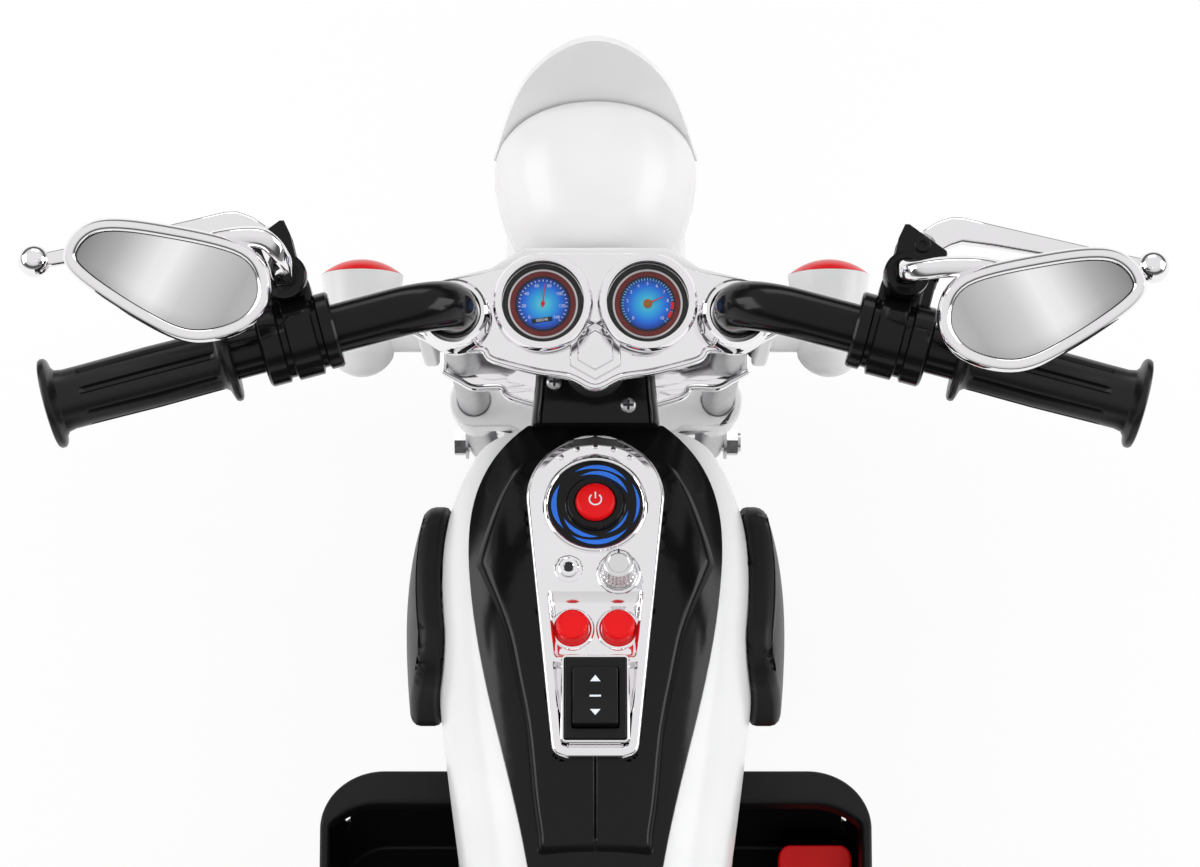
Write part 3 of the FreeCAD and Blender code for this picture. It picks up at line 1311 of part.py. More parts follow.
def gear_face(teeth, turn):
    """A spur gear's outline: involute flanks between short root and tip arcs."""
    module = value("gear_module")
    pitch = module * teeth / 2
    pressure = math.radians(20)
    base = pitch * math.cos(pressure)
    tip = pitch + module * value("tooth_height")
    root = pitch - module * value("tooth_root")
    half_tooth = math.pi / 2 / teeth - value("tooth_slack") / 2 / pitch

    def flank_angle(radius):
        roll = math.acos(min(base / radius, 1))
        return half_tooth + math.tan(pressure) - pressure - math.tan(roll) + roll

    def at(radius, angle):
        return Vector(0, radius * math.cos(angle), radius * math.sin(angle))

    steps = 4
    low = max(base, root)
    radii = [low + (tip - low) * step / steps for step in range(steps + 1)]
    edges = []
    for tooth in range(teeth):
        middle = turn + 2 * math.pi * tooth / teeth
        follower = middle + 2 * math.pi / teeth
        rising = [at(radius, middle - flank_angle(radius)) for radius in radii]
        falling = [at(radius, middle + flank_angle(radius)) for radius in reversed(radii)]
        foot_in = at(root, middle - flank_angle(low))
        foot_out = at(root, middle + flank_angle(low))
        next_foot = at(root, follower - flank_angle(low))
        if low > root:
            edges.append(Part.makeLine(foot_in, rising[0]))
        edges.append(smooth_wire(rising))
        edges.append(Part.Arc(rising[-1], at(tip, middle), falling[0]).toShape())
        edges.append(smooth_wire(falling))
        if low > root:
            edges.append(Part.makeLine(falling[-1], foot_out))
        edges.append(Part.Arc(foot_out, at(root, middle + math.pi / teeth), next_foot).toShape())
    return Part.Face(Part.Wire(edges))


# Rear wheels: black moulded wheels in one piece. The right one has the drive gear on its hub.
for side, centre in (("left", "-rear_wheel_out"), ("right", "rear_wheel_out")):
    tread = turned("RearTread", [
        ("-rear_tyre_width / 2", "rear_rim_radius - wall"),
        ("rear_tyre_width / 2", "rear_rim_radius - wall"),
        ("rear_tyre_width / 2", "rear_wheel_radius - 2 * rim_web", "2 * rim_web"),
        ("rear_tyre_width / 2 - 2 * rim_web", "rear_wheel_radius"),
        ("-rear_tyre_width / 2 + 2 * rim_web", "rear_wheel_radius", "2 * rim_web"),
        ("-rear_tyre_width / 2", "rear_wheel_radius - 2 * rim_web")], "H_Axis")
    disc = turned("RearDisc", wheel_section(
        "rear_web", "rear_hub_half", "rear_axle_radius + fit_gap", "rear_hub_radius",
        "rear_rim_radius - 2 * wall", "rear_rim_radius", "rear_web"), "H_Axis")
    windows(disc, "rear_spoke_circle")
    wheel = bind(fuse(tread, disc), Placement=spot(centre, *rear_line))
    if side == "right":
        gear = gear_face(int(value("gear_teeth")), 0).extrude(Vector(value("gear_width + seat_gap"), 0, 0))
        gear.translate(Vector(value("gear_in"), value("rear_axle_y"), value("rear_wheel_radius")))
        gear = solid(gear, "DriveGear")
        bore = rod("rear_axle_radius + fit_gap", ("gear_in", *rear_line), "gear_width + seat_gap", "x")
        wheel = fuse(wheel, cut(gear, bore))
    keep(f"rear_wheel_{side}", wheel)

# Drive: the motor on the tub's wall turns a pinion that meshes with the wheel's gear inside a housing.
pinion_face = gear_face(int(value("pinion_teeth")), math.pi / value("pinion_teeth"))
pinion = pinion_face.extrude(Vector(value("gear_width"), 0, 0))
pinion.translate(Vector(value("gear_in"), value("pinion_y"), value("rear_wheel_radius")))
motor_out = "chassis_half - chassis_wall - seat_gap"
motor_in = f"{motor_out} - motor_length"
pinion_line = ("pinion_y", "rear_wheel_radius")
shaft_start = f"{motor_in} + wall"
shaft = rod("shaft_radius", (shaft_start, *pinion_line), f"gear_in + gear_width - ({shaft_start})", "x")
keep("motor_pinion", fuse(solid(pinion, "Pinion"), shaft))
motor_can = rod("motor_radius", (motor_in, *pinion_line), "motor_length", "x")
keep("motor", cut(motor_can, rod("shaft_radius + fit_gap", (motor_in, *pinion_line), "motor_length", "x")))
casing_x = ("chassis_half + seat_gap", "chassis_half + gearbox_depth")
casing = box(casing_x, ("rear_axle_y - gearbox_half", "rear_axle_y + gearbox_front"),
             ("rear_wheel_radius - gearbox_half", "rear_wheel_radius + gearbox_half"))
casing_room = box((gearbox_back, "arch_out"),
                  ("rear_axle_y - gearbox_half + wall", "rear_axle_y + gearbox_front - wall"),
                  ("rear_wheel_radius - gearbox_half + wall", "rear_wheel_radius + gearbox_half - wall"))
axle_pass = rod("rear_axle_radius + seat_gap", ("chassis_half", *rear_line), "gearbox_depth", "x")
shaft_pass = rod("shaft_radius + run_gap", ("chassis_half", *pinion_line), "gearbox_depth", "x")
keep("gearbox_housing", cut(casing, casing_room, axle_pass, shaft_pass))
keep("battery", box(("-battery_half", "battery_half"),
                    ("battery_front_y - battery_length", "battery_front_y"),
                    ("tub_floor", "tub_floor + battery_height")))
board = box(("-board_half", "board_half"),
            ("electronics_y - electronics_half", "electronics_y + electronics_half"),
            ("tub_floor + peg_height", "tub_floor + peg_height + electronics_plate"))
pegs = []
for across in ("-", ""):
    for ahead in ("-", "+"):
        foot = (f"{across}(board_half - 2 * peg_radius)",
                f"electronics_y {ahead} (electronics_half - 2 * peg_radius)", "tub_floor")
        pegs.append(rod("peg_radius", foot, "peg_height"))
keep("control_board", fuse(board, *pegs))

# Rear body: a white deck over the tub with an arch over each rear wheel, and a tail that holds the lamp.
arch_inner = "rear_wheel_radius + arch_gap"
arch_outer = "rear_wheel_radius + arch_gap + arch_wall"
arches = []
for side in SIDES:
    arch = turned("RearArch", [
        ("arch_in", arch_inner), ("arch_out - arch_wall", arch_inner),
        ("arch_out - arch_wall", f"{arch_inner} - arch_skirt"), ("arch_out", f"{arch_inner} - arch_skirt"),
        ("arch_out", arch_outer), ("arch_in", arch_outer)], "H_Axis", "arch_sweep")
    put(spot(0, "rear_axle_y", "rear_wheel_radius", ABOUT_X, "-arch_front"), arch)
    arches.append(on_side(side, arch))
deck = box(("-deck_half", "deck_half"), ("chassis_rear", "chassis_step - seat_gap"), ("rear_top", "deck_top"))
bridge = box(("-arch_in - arch_wall", "arch_in + arch_wall"), ("chassis_rear", "deck_rear_y"),
             ("rear_top + arch_wall / 2", "deck_top"))
tail = box(("-tail_half", "tail_half"), ("tail_y", "chassis_rear - seat_gap"),
           ("deck_top - tail_drop", "deck_top"))
tail_link = box(("-tail_half", "tail_half"), ("tail_y", "chassis_rear + arch_wall"), ("rear_top", "deck_top"))
keep("rear_body", fuse(*arches, deck, bridge, tail, tail_link))
keep("tail_lamp", box(("-tail_lamp_half", "tail_lamp_half"),
                      ("tail_y - tail_lamp_depth", "tail_y - seat_gap"),
                      ("deck_top - tail_lamp_height", "deck_top")))

# Seat: a hard moulded saddle behind the tank, open underneath, standing on the rear deck.
SEAT = (("tank_tail_y - seat_gap * 4", "seat_front_half", "seat_front_top"),
        ("seat_dip_y", "seat_dip_half", "seat_dip_top"),
        ("seat_middle_y", "seat_middle_half", "seat_middle_top"),
        ("seat_rear_y", "seat_rear_half", "seat_rear_top"),
        ("seat_tail_y", "seat_tail_half", "seat_tail_top"))
SEAT_FOOT_SHARE = 0.94


def seat_form(thin=0.0, drop=0.0):
    """The saddle's form, thinned on every side and carried below its foot."""
    stations = []
    for number, (y, half_width, top) in enumerate(SEAT):
        push = {0: -thin, len(SEAT) - 1: thin}.get(number, 0.0)
        foot_half = value(half_width) * SEAT_FOOT_SHARE - thin
        stations.append(arch_section(value(y) + push, value(half_width) - thin, value(top) - thin, foot_half,
                                     value("deck_top + seat_gap") - drop, value("seat_crown_drop")))
    return Part.makeLoft(stations, True)


keep("seat", solid(seat_form().cut(seat_form(wall, wall)), "Seat"))

doc.recompute()
for item in doc.Objects:
    if "Invalid" in item.State or "Error" in item.State:
        raise RuntimeError(f"{item.Name} ({item.Label}) did not build: {item.State}")
for label, item in pieces.items():
    if item.Shape.isNull() or not item.Shape.isValid():
        raise RuntimeError(f"{label} has no valid shape")
    if not item.Shape.Solids:
        raise RuntimeError(f"{label} holds no solid")

os.makedirs("parts", exist_ok=True)
for label, item in pieces.items():
    item.Shape.exportStep(f"parts/{label}.step")
print(len(pieces), "pieces written")
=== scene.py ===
import json
import math
import bmesh
import bpy
from mathutils import Matrix, Vector
from mathutils.bvhtree import BVHTree


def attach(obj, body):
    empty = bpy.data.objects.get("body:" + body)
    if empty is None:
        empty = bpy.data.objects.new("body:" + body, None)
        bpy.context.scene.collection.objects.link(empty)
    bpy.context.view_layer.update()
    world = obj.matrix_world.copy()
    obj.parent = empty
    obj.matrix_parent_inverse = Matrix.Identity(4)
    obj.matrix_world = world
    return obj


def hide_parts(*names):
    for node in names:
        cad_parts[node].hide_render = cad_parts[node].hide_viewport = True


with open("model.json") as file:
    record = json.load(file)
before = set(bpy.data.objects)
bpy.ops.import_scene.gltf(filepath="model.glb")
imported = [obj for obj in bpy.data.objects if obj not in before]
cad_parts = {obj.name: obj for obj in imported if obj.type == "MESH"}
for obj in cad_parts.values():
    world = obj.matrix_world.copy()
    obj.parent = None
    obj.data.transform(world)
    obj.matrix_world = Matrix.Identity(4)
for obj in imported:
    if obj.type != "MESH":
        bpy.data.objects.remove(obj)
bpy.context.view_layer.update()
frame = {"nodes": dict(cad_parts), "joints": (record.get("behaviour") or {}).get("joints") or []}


# Chassis tub and backbone: a satin black injection-moulded tub that everything bolts to, and a welded
# steel spine, powder-coated black, that carries the steering head.
class Wire:
    """A shader socket that Python's operators calculate with: each operator adds a Math node."""

    def __init__(self, nodes, socket):
        self.nodes = nodes
        self.socket = socket

    def math(self, operation, first, second=0.0):
        return self.nodes.node("Math", {"operation": operation}, {0: first, 1: second})

    def __add__(self, other):
        return self.math("ADD", self, other)

    def __sub__(self, other):
        return self.math("SUBTRACT", self, other)

    def __rsub__(self, other):
        return self.math("SUBTRACT", other, self)

    def __mul__(self, other):
        return self.math("MULTIPLY", self, other)

    __radd__ = __add__
    __rmul__ = __mul__


class Nodes:
    """A node tree, with one method that adds any node."""

    def __init__(self, tree):
        self.tree = tree

    def node(self, kind, settings=(), sockets=(), output=0):
        node = self.tree.nodes.new("ShaderNode" + kind)
        for name, setting in dict(settings).items():
            if name == "stops":
                while len(node.color_ramp.elements) < len(setting):
                    node.color_ramp.elements.new(1.0)
                for element, (position, colour) in zip(node.color_ramp.elements, setting):
                    element.position = position
                    element.color = (*colour, 1.0)
            else:
                setattr(node, name, setting)
        for name, source in dict(sockets).items():
            self.plug(node.inputs[name], source)
        return Wire(self, node.outputs[output])

    def plug(self, socket, source):
        if isinstance(source, Wire):
            self.tree.links.new(source.socket, socket)
        else:
            socket.default_value = source


class Finish(Nodes):
    """A surface finish: one Principled shader and what feeds it."""

    def __init__(self, name, sockets=()):
        self.material = bpy.data.materials.new(name)
        self.material.use_nodes = True
        super().__init__(self.material.node_tree)
        self.shader = self.tree.nodes["Principled BSDF"]
        self.spot = self.node("TexCoord", output="Object")
        self.feed(dict(sockets))

    def feed(self, sockets):
        for name, source in sockets.items():
            self.plug(self.shader.inputs[name], source)

    def noise(self, scale, detail=2.0):
        return self.node("TexNoise", {}, {"Vector": self.spot, "Scale": scale, "Detail": detail})

    def mix(self, share, first, second):
        return self.node("Mix", {"data_type": "RGBA"}, {0: share, 6: first, 7: second}, output=2)

    def bump(self, height, depth):
        self.feed({"Normal": self.node("Bump", {}, {"Height": height, "Distance": depth})})


FLOW_CLOUD = 22.0
FLOW_SPREAD = 0.06
HANDLING_HAZE = 70.0
HAZE_SPREAD = 0.10


def shade(colour, share):
    return tuple(channel * share for channel in colour) + (1.0,)


def moulded(name, colour, rough, peel=1.5e-5, grain=150.0, specular=0.5):
    """Injection-moulded plastic: slight flow clouds in the colour, handling haze, and a fine skin."""
    finish = Finish(name, {"Specular IOR Level": specular})
    cloud = finish.noise(FLOW_CLOUD, detail=3.0)
    haze = finish.noise(HANDLING_HAZE, detail=4.0)
    clouded = finish.mix(cloud, shade(colour, 1 - FLOW_SPREAD), shade(colour, 1 + FLOW_SPREAD))
    finish.feed({"Base Color": clouded, "Roughness": haze * HAZE_SPREAD + (rough - HAZE_SPREAD / 2)})
    finish.bump(finish.noise(grain), peel)
    return finish


def dress(finish, *names):
    for name in names:
        slots = frame["nodes"][name].data.materials
        slots.clear()
        slots.append(finish.material)


SHARP = math.radians(38.0)
FLAT = math.radians(1.0)
WELD = 1e-6


def finished(item, finish, body, nodes):
    """Links a new piece, gives it its finish, and fixes it to a body in place of the nodes it stands for."""
    item.data.materials.clear()
    item.data.materials.append(finish.material)
    bpy.context.scene.collection.objects.link(item)
    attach(item, body)
    if nodes:
        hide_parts(*nodes)
    return item


def eased(node, finish, body, width):
    """The piece as it leaves its mould: the node's form with its sharp edges rounded over."""
    form = bmesh.new()
    form.from_mesh(frame["nodes"][node].data)
    bmesh.ops.remove_doubles(form, verts=form.verts, dist=WELD)
    bmesh.ops.dissolve_limit(form, angle_limit=FLAT, verts=form.verts, edges=form.edges)
    mesh = bpy.data.meshes.new(node + "_eased")
    form.to_mesh(mesh)
    form.free()
    mesh.shade_smooth()
    mesh.set_sharp_from_angle(angle=SHARP)
    item = bpy.data.objects.new(node + "_eased", mesh)
    rounding = item.modifiers.new("rounding", "BEVEL")
    rounding.width = width
    rounding.segments = 3
    rounding.limit_method = "ANGLE"
    rounding.angle_limit = SHARP
    rounding.use_clamp_overlap = False
    rounding.harden_normals = True
    return finished(item, finish, body, [node])


SATIN_BLACK = (0.007, 0.007, 0.0075)
satin_black = moulded("satin_black_plastic", SATIN_BLACK, 0.40, peel=4e-5, grain=700.0, specular=0.2)
frame_paint = moulded("powder_coat", (0.018, 0.018, 0.018), 0.5, peel=8e-5, grain=420.0)
eased("chassis", satin_black, "bike", width=0.0012)
dress(frame_paint, "main_frame")

# Rear axle and wheels: a plain steel rod with push-on caps, and blow-moulded black wheels with a
# coarse tread that run free on it; only the right one is geared.
METAL_CLOUD = 30.0
METAL_DARKEST = 0.93
METAL_HAZE = 240.0
METAL_HAZE_SHARE = 0.8


def metal(name, tint, rough, wave=1e-5, scale=60.0):
    """Bare or plated metal: faint clouds in the tint, hazy patches, and a slight waviness."""
    finish = Finish(name, {"Metallic": 1.0})
    cloud = finish.noise(METAL_CLOUD)
    haze = finish.noise(METAL_HAZE, detail=3.0)
    finish.feed({"Base Color": finish.mix(cloud, shade(tint, METAL_DARKEST), shade(tint, 1.0)),
                 "Roughness": haze * (rough * METAL_HAZE_SHARE) + rough * (1 - METAL_HAZE_SHARE / 2)})
    finish.bump(finish.noise(scale, detail=1.0), wave)
    return finish


steel = metal("zinc_steel", (0.56, 0.56, 0.57), 0.3)
tyre_black = moulded("wheel_plastic", (0.014, 0.014, 0.014), 0.55, peel=6e-5, grain=500.0, specular=0.3)
dress(steel, "rear_axle")
dress(tyre_black, "rear_wheel_left", "rear_wheel_right")

# Drive: a small steel can motor with a brass pinion pressed on its shaft, and a black moulded gearbox
# shell that the motor is screwed to, beside the driven wheel.
dress(steel, "motor")
dress(metal("pinion_brass", (0.7, 0.5, 0.22), 0.3), "motor_pinion")
eased("gearbox_housing", satin_black, "bike", width=0.001)

# Electrics: a sealed lead-acid battery in a dark grey moulded case, and a circuit board under green
# lacquer, both fixed inside the body.
eased("battery", moulded("battery_case", (0.05, 0.05, 0.055), 0.5), "bike", width=0.0015)
dress(moulded("circuit_lacquer", (0.01, 0.11, 0.035), 0.25), "control_board")

# Front wheel: a plated plastic rim pressed into a blow-moulded black tyre, which turns on a steel bolt
# through the fork ends.
chrome = metal("plated_plastic", (0.93, 0.915, 0.93), 0.05, wave=3e-5, scale=45.0)
dress(tyre_black, "front_tyre")
dress(chrome, "front_rim")
dress(steel, "front_axle")

# Fork: two satin grey steel tubes in a white moulded yoke, the steel stem that turns in the frame's
# head, and a white moulded mudguard over the wheel.
white = moulded("gloss_white_plastic", (0.84, 0.84, 0.845), 0.24, specular=0.3)
dress(metal("satin_steel", (0.42, 0.42, 0.43), 0.34), "fork_tubes")
dress(steel, "steering_stem")
eased("fork_yoke", white, "fork", width=0.0012)
eased("front_fender", white, "fork", width=0.001)

# Clamp plates: two plated castings that tie the fork tubes. The upper one carries the gauges and the
# bar sockets; both have a rolled lip along the rear edge, and a six-sided boss covers the stem.
METRE = 1000.0
MM = Matrix.Scale(1 / METRE, 4)
MIRROR = Matrix.Diagonal((-1, 1, 1, 1))
ROUND = 2 * math.pi
TIP = 0.02
MITRE_LIMIT = 0.4
EASE_STEPS = 3


def frame_of(origin, across, ahead, up):
    """A frame in millimetres: its origin, in metres, and its three directions."""
    return Matrix.Translation(origin) @ Matrix((across, ahead, up)).transposed().to_4x4() @ MM


def skin(rings, caps=True):
    """A skin over closed rings of equal count, with flat ends or open ones."""
    count = len(rings[0])
    points = [point for ring in rings for point in ring]
    faces = []
    for step in range(len(rings) - 1):
        for corner in range(count):
            here = step * count + corner
            beside = step * count + (corner + 1) % count
            faces.append((here, beside, beside + count, here + count))
    if caps:
        faces.append(tuple(reversed(range(count))))
        faces.append(tuple(range(len(points) - count, len(points))))
    return points, faces


def polar(radius, angle):
    return radius * math.cos(angle), radius * math.sin(angle)


def circle(radius, steps=32):
    return [polar(radius, ROUND * step / steps) for step in range(steps)]


def turned(profile, steps=48, caps=True):
    """A form turned about the frame's own upright, from radius and height pairs."""
    return skin([[(x, y, height) for x, y in circle(radius, steps)] for radius, height in profile], caps)


def rounded(half_x, half_y, corner, steps=5):
    """A rectangle with round corners, as a closed outline."""
    outline = []
    for quarter, (side_x, side_y) in enumerate(((1, 1), (-1, 1), (-1, -1), (1, -1))):
        for step in range(steps + 1):
            x, y = polar(corner, (quarter + step / steps) * ROUND / 4)
            outline.append((side_x * (half_x - corner) + x, side_y * (half_y - corner) + y))
    return outline


def inset(outline, amount):
    """A closed outline, counter-clockwise, moved inwards."""
    inner = []
    for index, point in enumerate(outline):
        here = Vector(point)
        before = (here - Vector(outline[index - 1])).normalized()
        after = (Vector(outline[(index + 1) % len(outline)]) - here).normalized()
        inward = Vector((-before.y - after.y, before.x + after.x))
        squeeze = max(inward.length_squared / 2, MITRE_LIMIT)
        inner.append(tuple(here + inward * (amount / squeeze)))
    return inner


def prism(outline, low, high, ease):
    """A plate of an outline's shape with rounded edges."""
    turns = [step / EASE_STEPS * ROUND / 4 for step in range(EASE_STEPS + 1)]
    levels = [(low + ease * (1 - math.sin(turn)), ease * (1 - math.cos(turn))) for turn in reversed(turns)]
    levels += [(high - ease * (1 - math.sin(turn)), ease * (1 - math.cos(turn))) for turn in turns]
    return skin([[(x, y, height) for x, y in inset(outline, amount)] for height, amount in levels])


def swept(path, outline, up):
    """A section carried along a path; up says which way its second direction leans."""
    rings = []
    for index, point in enumerate(path):
        before = Vector(path[max(index - 1, 0)])
        after = Vector(path[min(index + 1, len(path) - 1)])
        along = (after - before).normalized()
        side = along.cross(Vector(up)).normalized()
        rise = side.cross(along)
        rings.append([tuple(Vector(point) + side * x + rise * y) for x, y in outline])
    return skin(rings)


def moved(form, matrix):
    points, faces = form
    return [matrix @ Vector(point) for point in points], faces


def at(form, place, level=0.0):
    return moved(form, Matrix.Translation((*place, level)))


def build(name, forms, finish, body, slot, place, *nodes):
    """Joins forms, given in a frame's millimetres, into one new piece on a body."""
    points = []
    faces = []
    for form_points, form_faces in forms:
        start = len(points)
        points += [place @ Vector(point) for point in form_points]
        faces += [tuple(start + corner for corner in face) for face in form_faces]
    mesh = bpy.data.meshes.new(name)
    mesh.from_pydata(points, [], faces)
    shell = bmesh.new()
    shell.from_mesh(mesh)
    bmesh.ops.recalc_face_normals(shell, faces=shell.faces)
    shell.to_mesh(mesh)
    shell.free()
    mesh.shade_smooth()
    mesh.set_sharp_from_angle(angle=SHARP)
    return finished(bpy.data.objects.new(name, mesh), finish, body, nodes)


def smooth_line(points, steps=6, closed=False):
    """A smooth line through points of any dimension."""
    spots = [Vector(point) for point in points]
    line = []
    for index in range(len(spots) if closed else len(spots) - 1):
        if closed:
            a, b, c, d = (spots[(index + shift) % len(spots)] for shift in (-1, 0, 1, 2))
        else:
            b, c = spots[index], spots[index + 1]
            a = spots[index - 1] if index else 2 * b - c
            d = spots[index + 2] if index + 2 < len(spots) else 2 * c - b
        for step in range(steps):
            share = step / steps
            line.append(0.5 * (2 * b + (c - a) * share + (2 * a - 5 * b + 4 * c - d) * share ** 2
                               + (3 * b - a - 3 * c + d) * share ** 3))
    if not closed:
        line.append(spots[-1])
    return line


joints = {joint["name"]: joint for joint in frame["joints"]}
ACROSS = Vector((1, 0, 0))
FORK_UP = Vector(joints["steering"]["axis"])
FORK = frame_of(Vector(joints["front_wheel_spin"]["pos_m"]), ACROSS, FORK_UP.cross(ACROSS), FORK_UP)
FORK_HALF = 60.0
CLAMP_FACE = 384.0
LOW_FACE = 276.0
LOW_SHARE = 0.9
LIP = [(77.5, -5.5), (69.5, -9.5), (62, -12.9), (48.5, -12.9), (44, -17.2), (25.2, -22.3), (11, -24.6)]
LIP_POINT = (0, -29.3)
LIP_ROLLS = ((0.6, 1.5), (-3.6, 1.2))
DECK_NOSE = [(77, 12), (75.6, 14.6), (40, 22), (24, 29)]
LOW_NOSE = [(70, 12), (68.6, 14.6)]
CAST_UNDER = 5.8
CAST_OVER = 0.2
CAST_EASE = 0.4
SOCKET_RIM = [(14.5, -6), (14.5, 1), (15.4, 2), (15.6, 4), (14.7, 5.4), (14.5, 17), (14.2, 20), (13.2, 21),
              (11.6, 21), (11, 20), (11, 12)]
STEM_BACK = 14.0
BOSS_STEPS = ((12.6, -0.5, 3.4), (8.8, 3.0, 5.6))
BOSS_EASE = 0.7
lip_line = smooth_line([(-x, y) for x, y in LIP] + [LIP_POINT] + LIP[::-1], 5)


def clamp_plate(face, share, nose):
    """A plate of the lip's line and a nose ahead of it, with two rolls along the lip."""
    line = [(point.x * share, point.y) for point in lip_line]
    outline = line + nose + [(-x, y) for x, y in reversed(nose)]
    forms = [prism(outline, face - CAST_UNDER, face + CAST_OVER, CAST_EASE)]
    for rise, thick in LIP_ROLLS:
        forms.append(swept([(*point, face + rise) for point in line], circle(thick, 12), (0, 0, 1)))
    return forms


boss = []
for radius, low, high in BOSS_STEPS:
    hexagon = [(-y, x - STEM_BACK) for x, y in circle(radius, 6)]
    boss.append(prism(hexagon, CLAMP_FACE + low, CLAMP_FACE + high, BOSS_EASE))
bar_sockets = [at(turned(SOCKET_RIM), (sign * FORK_HALF, 0), CLAMP_FACE) for sign in (-1, 1)]
top_forms = bar_sockets + clamp_plate(CLAMP_FACE, 1.0, DECK_NOSE)
low_forms = clamp_plate(LOW_FACE, LOW_SHARE, LOW_NOSE)
build("stem_boss", boss, chrome, "fork", "chrome", FORK, "stem_nut")
build("top_plate", top_forms, chrome, "fork", "chrome", FORK, "top_clamp")
build("lower_plate", low_forms, chrome, "fork", "chrome", FORK, "lower_clamp")

# Headlamp, fly-screen and cowl: gloss white mouldings round the fork tops, a plated reflector and a
# clear lens; the indicators are white bullets with red lenses.
LENS_WAVE = 40.0
LENS_DEPTH = 2e-5
clear = Finish("clear_plastic", {"Transmission Weight": 1.0, "IOR": 1.46, "Roughness": 0.02,
                                 "Base Color": (0.96, 0.98, 1.0, 1.0)})
clear.bump(clear.noise(LENS_WAVE, detail=1.0), LENS_DEPTH)
red_lens = moulded("red_lens_plastic", (0.8, 0.006, 0.01), 0.2, specular=0.2)
dress(white, "indicator_housings", "fly_screen")
BOWL = [(TIP, -2), (10, -1.7), (18, -0.4), (24, 2), (28.5, 5.5), (33, 11), (37.5, 18.5), (41, 27), (43.5, 37),
        (44.8, 46), (45, 50), (44.8, 54), (44, 57.6), (42.8, 59.6), (41, 60), (38.8, 59.4), (38.3, 57),
        (38.3, 48), (30, 12), (TIP, 8)]
LAMP_BACK = Vector((0, 0.190, 0.445))
bowl_frame = frame_of(LAMP_BACK, ACROSS, Vector((0, 0, -1)), Vector((0, 1, 0)))
build("headlamp_shell", [turned(BOWL, 96)], white, "fork", "white", bowl_frame, "headlamp_bowl")
eased("fork_cowl", white, "fork", width=0.002)
dress(chrome, "headlamp_reflector")
dress(clear, "headlamp_lens")
dress(red_lens, "indicator_lenses")

# Gauges: a plated twin housing on the top clamp with a rolled bezel round each dial, printed dials with
# plain scales and needles, and clear covers snapped in over them.
GAUGE_SPOTS = ((-22.3, 5.0), (22.3, 5.0))
GAUGE_TOP = 402.0
DIAL_RADIUS = 17.3
DIAL_FACE = 395.0
DIAL_THICK = 1.0
DIAL_RINGS = [(0.0, (0.2, 0.95, 1.0)), (3.8, (0.04, 0.55, 1.0)), (7.8, (0.012, 0.2, 0.95)),
              (10.6, (0.006, 0.05, 0.4)), (11.3, (0.006, 0.008, 0.02)), (11.9, (0.006, 0.008, 0.02)),
              (12.1, (0.2, 0.014, 0.012)), (14.0, (0.15, 0.01, 0.01)), (14.2, (0.75, 0.72, 0.72)),
              (14.8, (0.75, 0.72, 0.72)), (15.0, (0.006, 0.006, 0.006))]
SWEEP_START = math.radians(225.0)
SWEEP = math.radians(270.0)
INK = 0.08
NEEDLE_LEVELS = (0.5, 0.9)
PAPER_GRAIN = 900.0
PAPER_DEPTH = 5e-6
dial_places = [FORK @ Matrix.Translation((*spot, DIAL_FACE)) for spot in GAUGE_SPOTS]
dial_print = Finish("dial_print", {"Roughness": 0.35})
reach = [dial_print.node("VectorMath", {"operation": "DISTANCE"},
                         {0: dial_print.spot, 1: place.translation}, output="Value") for place in dial_places]
ring = reach[0].math("MINIMUM", *reach) * (METRE / DIAL_RADIUS)
dial_print.feed({"Base Color": dial_print.node(
    "ValToRGB", {"stops": [(radius / DIAL_RADIUS, colour) for radius, colour in DIAL_RINGS]}, {0: ring})})
dial_print.bump(dial_print.noise(PAPER_GRAIN), PAPER_DEPTH)
dial = turned([(DIAL_RADIUS, -DIAL_THICK), (DIAL_RADIUS, 0.0), (TIP, 0.0)], 64)
dials = [at(dial, spot, DIAL_FACE) for spot in GAUGE_SPOTS]
build("dials", dials, dial_print, "fork", "dial", FORK, "gauge_dials")


def lettering(text, height):
    """A plain number or sign as a thin printed form, centred on its place."""
    curve = bpy.data.curves.new("lettering", "FONT")
    curve.body = text
    curve.size = height
    curve.align_x = "CENTER"
    curve.align_y = "CENTER"
    curve.extrude = INK / 2
    holder = bpy.data.objects.new("lettering", curve)
    mesh = bpy.data.meshes.new_from_object(holder)
    form = [vertex.co.copy() for vertex in mesh.vertices], [tuple(face.vertices) for face in mesh.polygons]
    bpy.data.objects.remove(holder)
    bpy.data.curves.remove(curve)
    bpy.data.meshes.remove(mesh)
    return form


def slab(outline, levels):
    """A thin form of an outline's shape between two levels."""
    return skin([[(x, y, level) for x, y in outline] for level in levels])


def bar_mark(x, y, half_x, half_y, angle=0.0, height=INK):
    """A small printed or raised bar."""
    outline = [(-half_x, -half_y), (half_x, -half_y), (half_x, half_y), (-half_x, half_y)]
    return at(moved(slab(outline, (0.0, height)), Matrix.Rotation(angle, 4, "Z")), (x, y))


def scale_marks(count, inner, outer, half_width):
    """Ticks evenly round a dial's sweep."""
    marks = []
    for step in range(count):
        angle = SWEEP_START - SWEEP * step / (count - 1)
        marks.append(bar_mark(*polar((inner + outer) / 2, angle), (outer - inner) / 2, half_width, angle))
    return marks


def scale_numbers(numbers, radius, height):
    """Upright numbers evenly round a dial's sweep."""
    forms = []
    for step, number in enumerate(numbers):
        angle = SWEEP_START - SWEEP * step / (len(numbers) - 1)
        forms.append(at(lettering(str(number), height), polar(radius, angle)))
    return forms


def needle(angle, length, tail, half_width):
    """A pointer that tapers to its tip."""
    outline = [(-tail, -half_width), (length, -half_width / 4), (length, half_width / 4), (-tail, half_width)]
    return moved(slab(outline, NEEDLE_LEVELS), Matrix.Rotation(math.radians(angle), 4, "Z"))


def ink(name, colour):
    return moulded(name, colour, 0.4, peel=2e-6, grain=900.0)


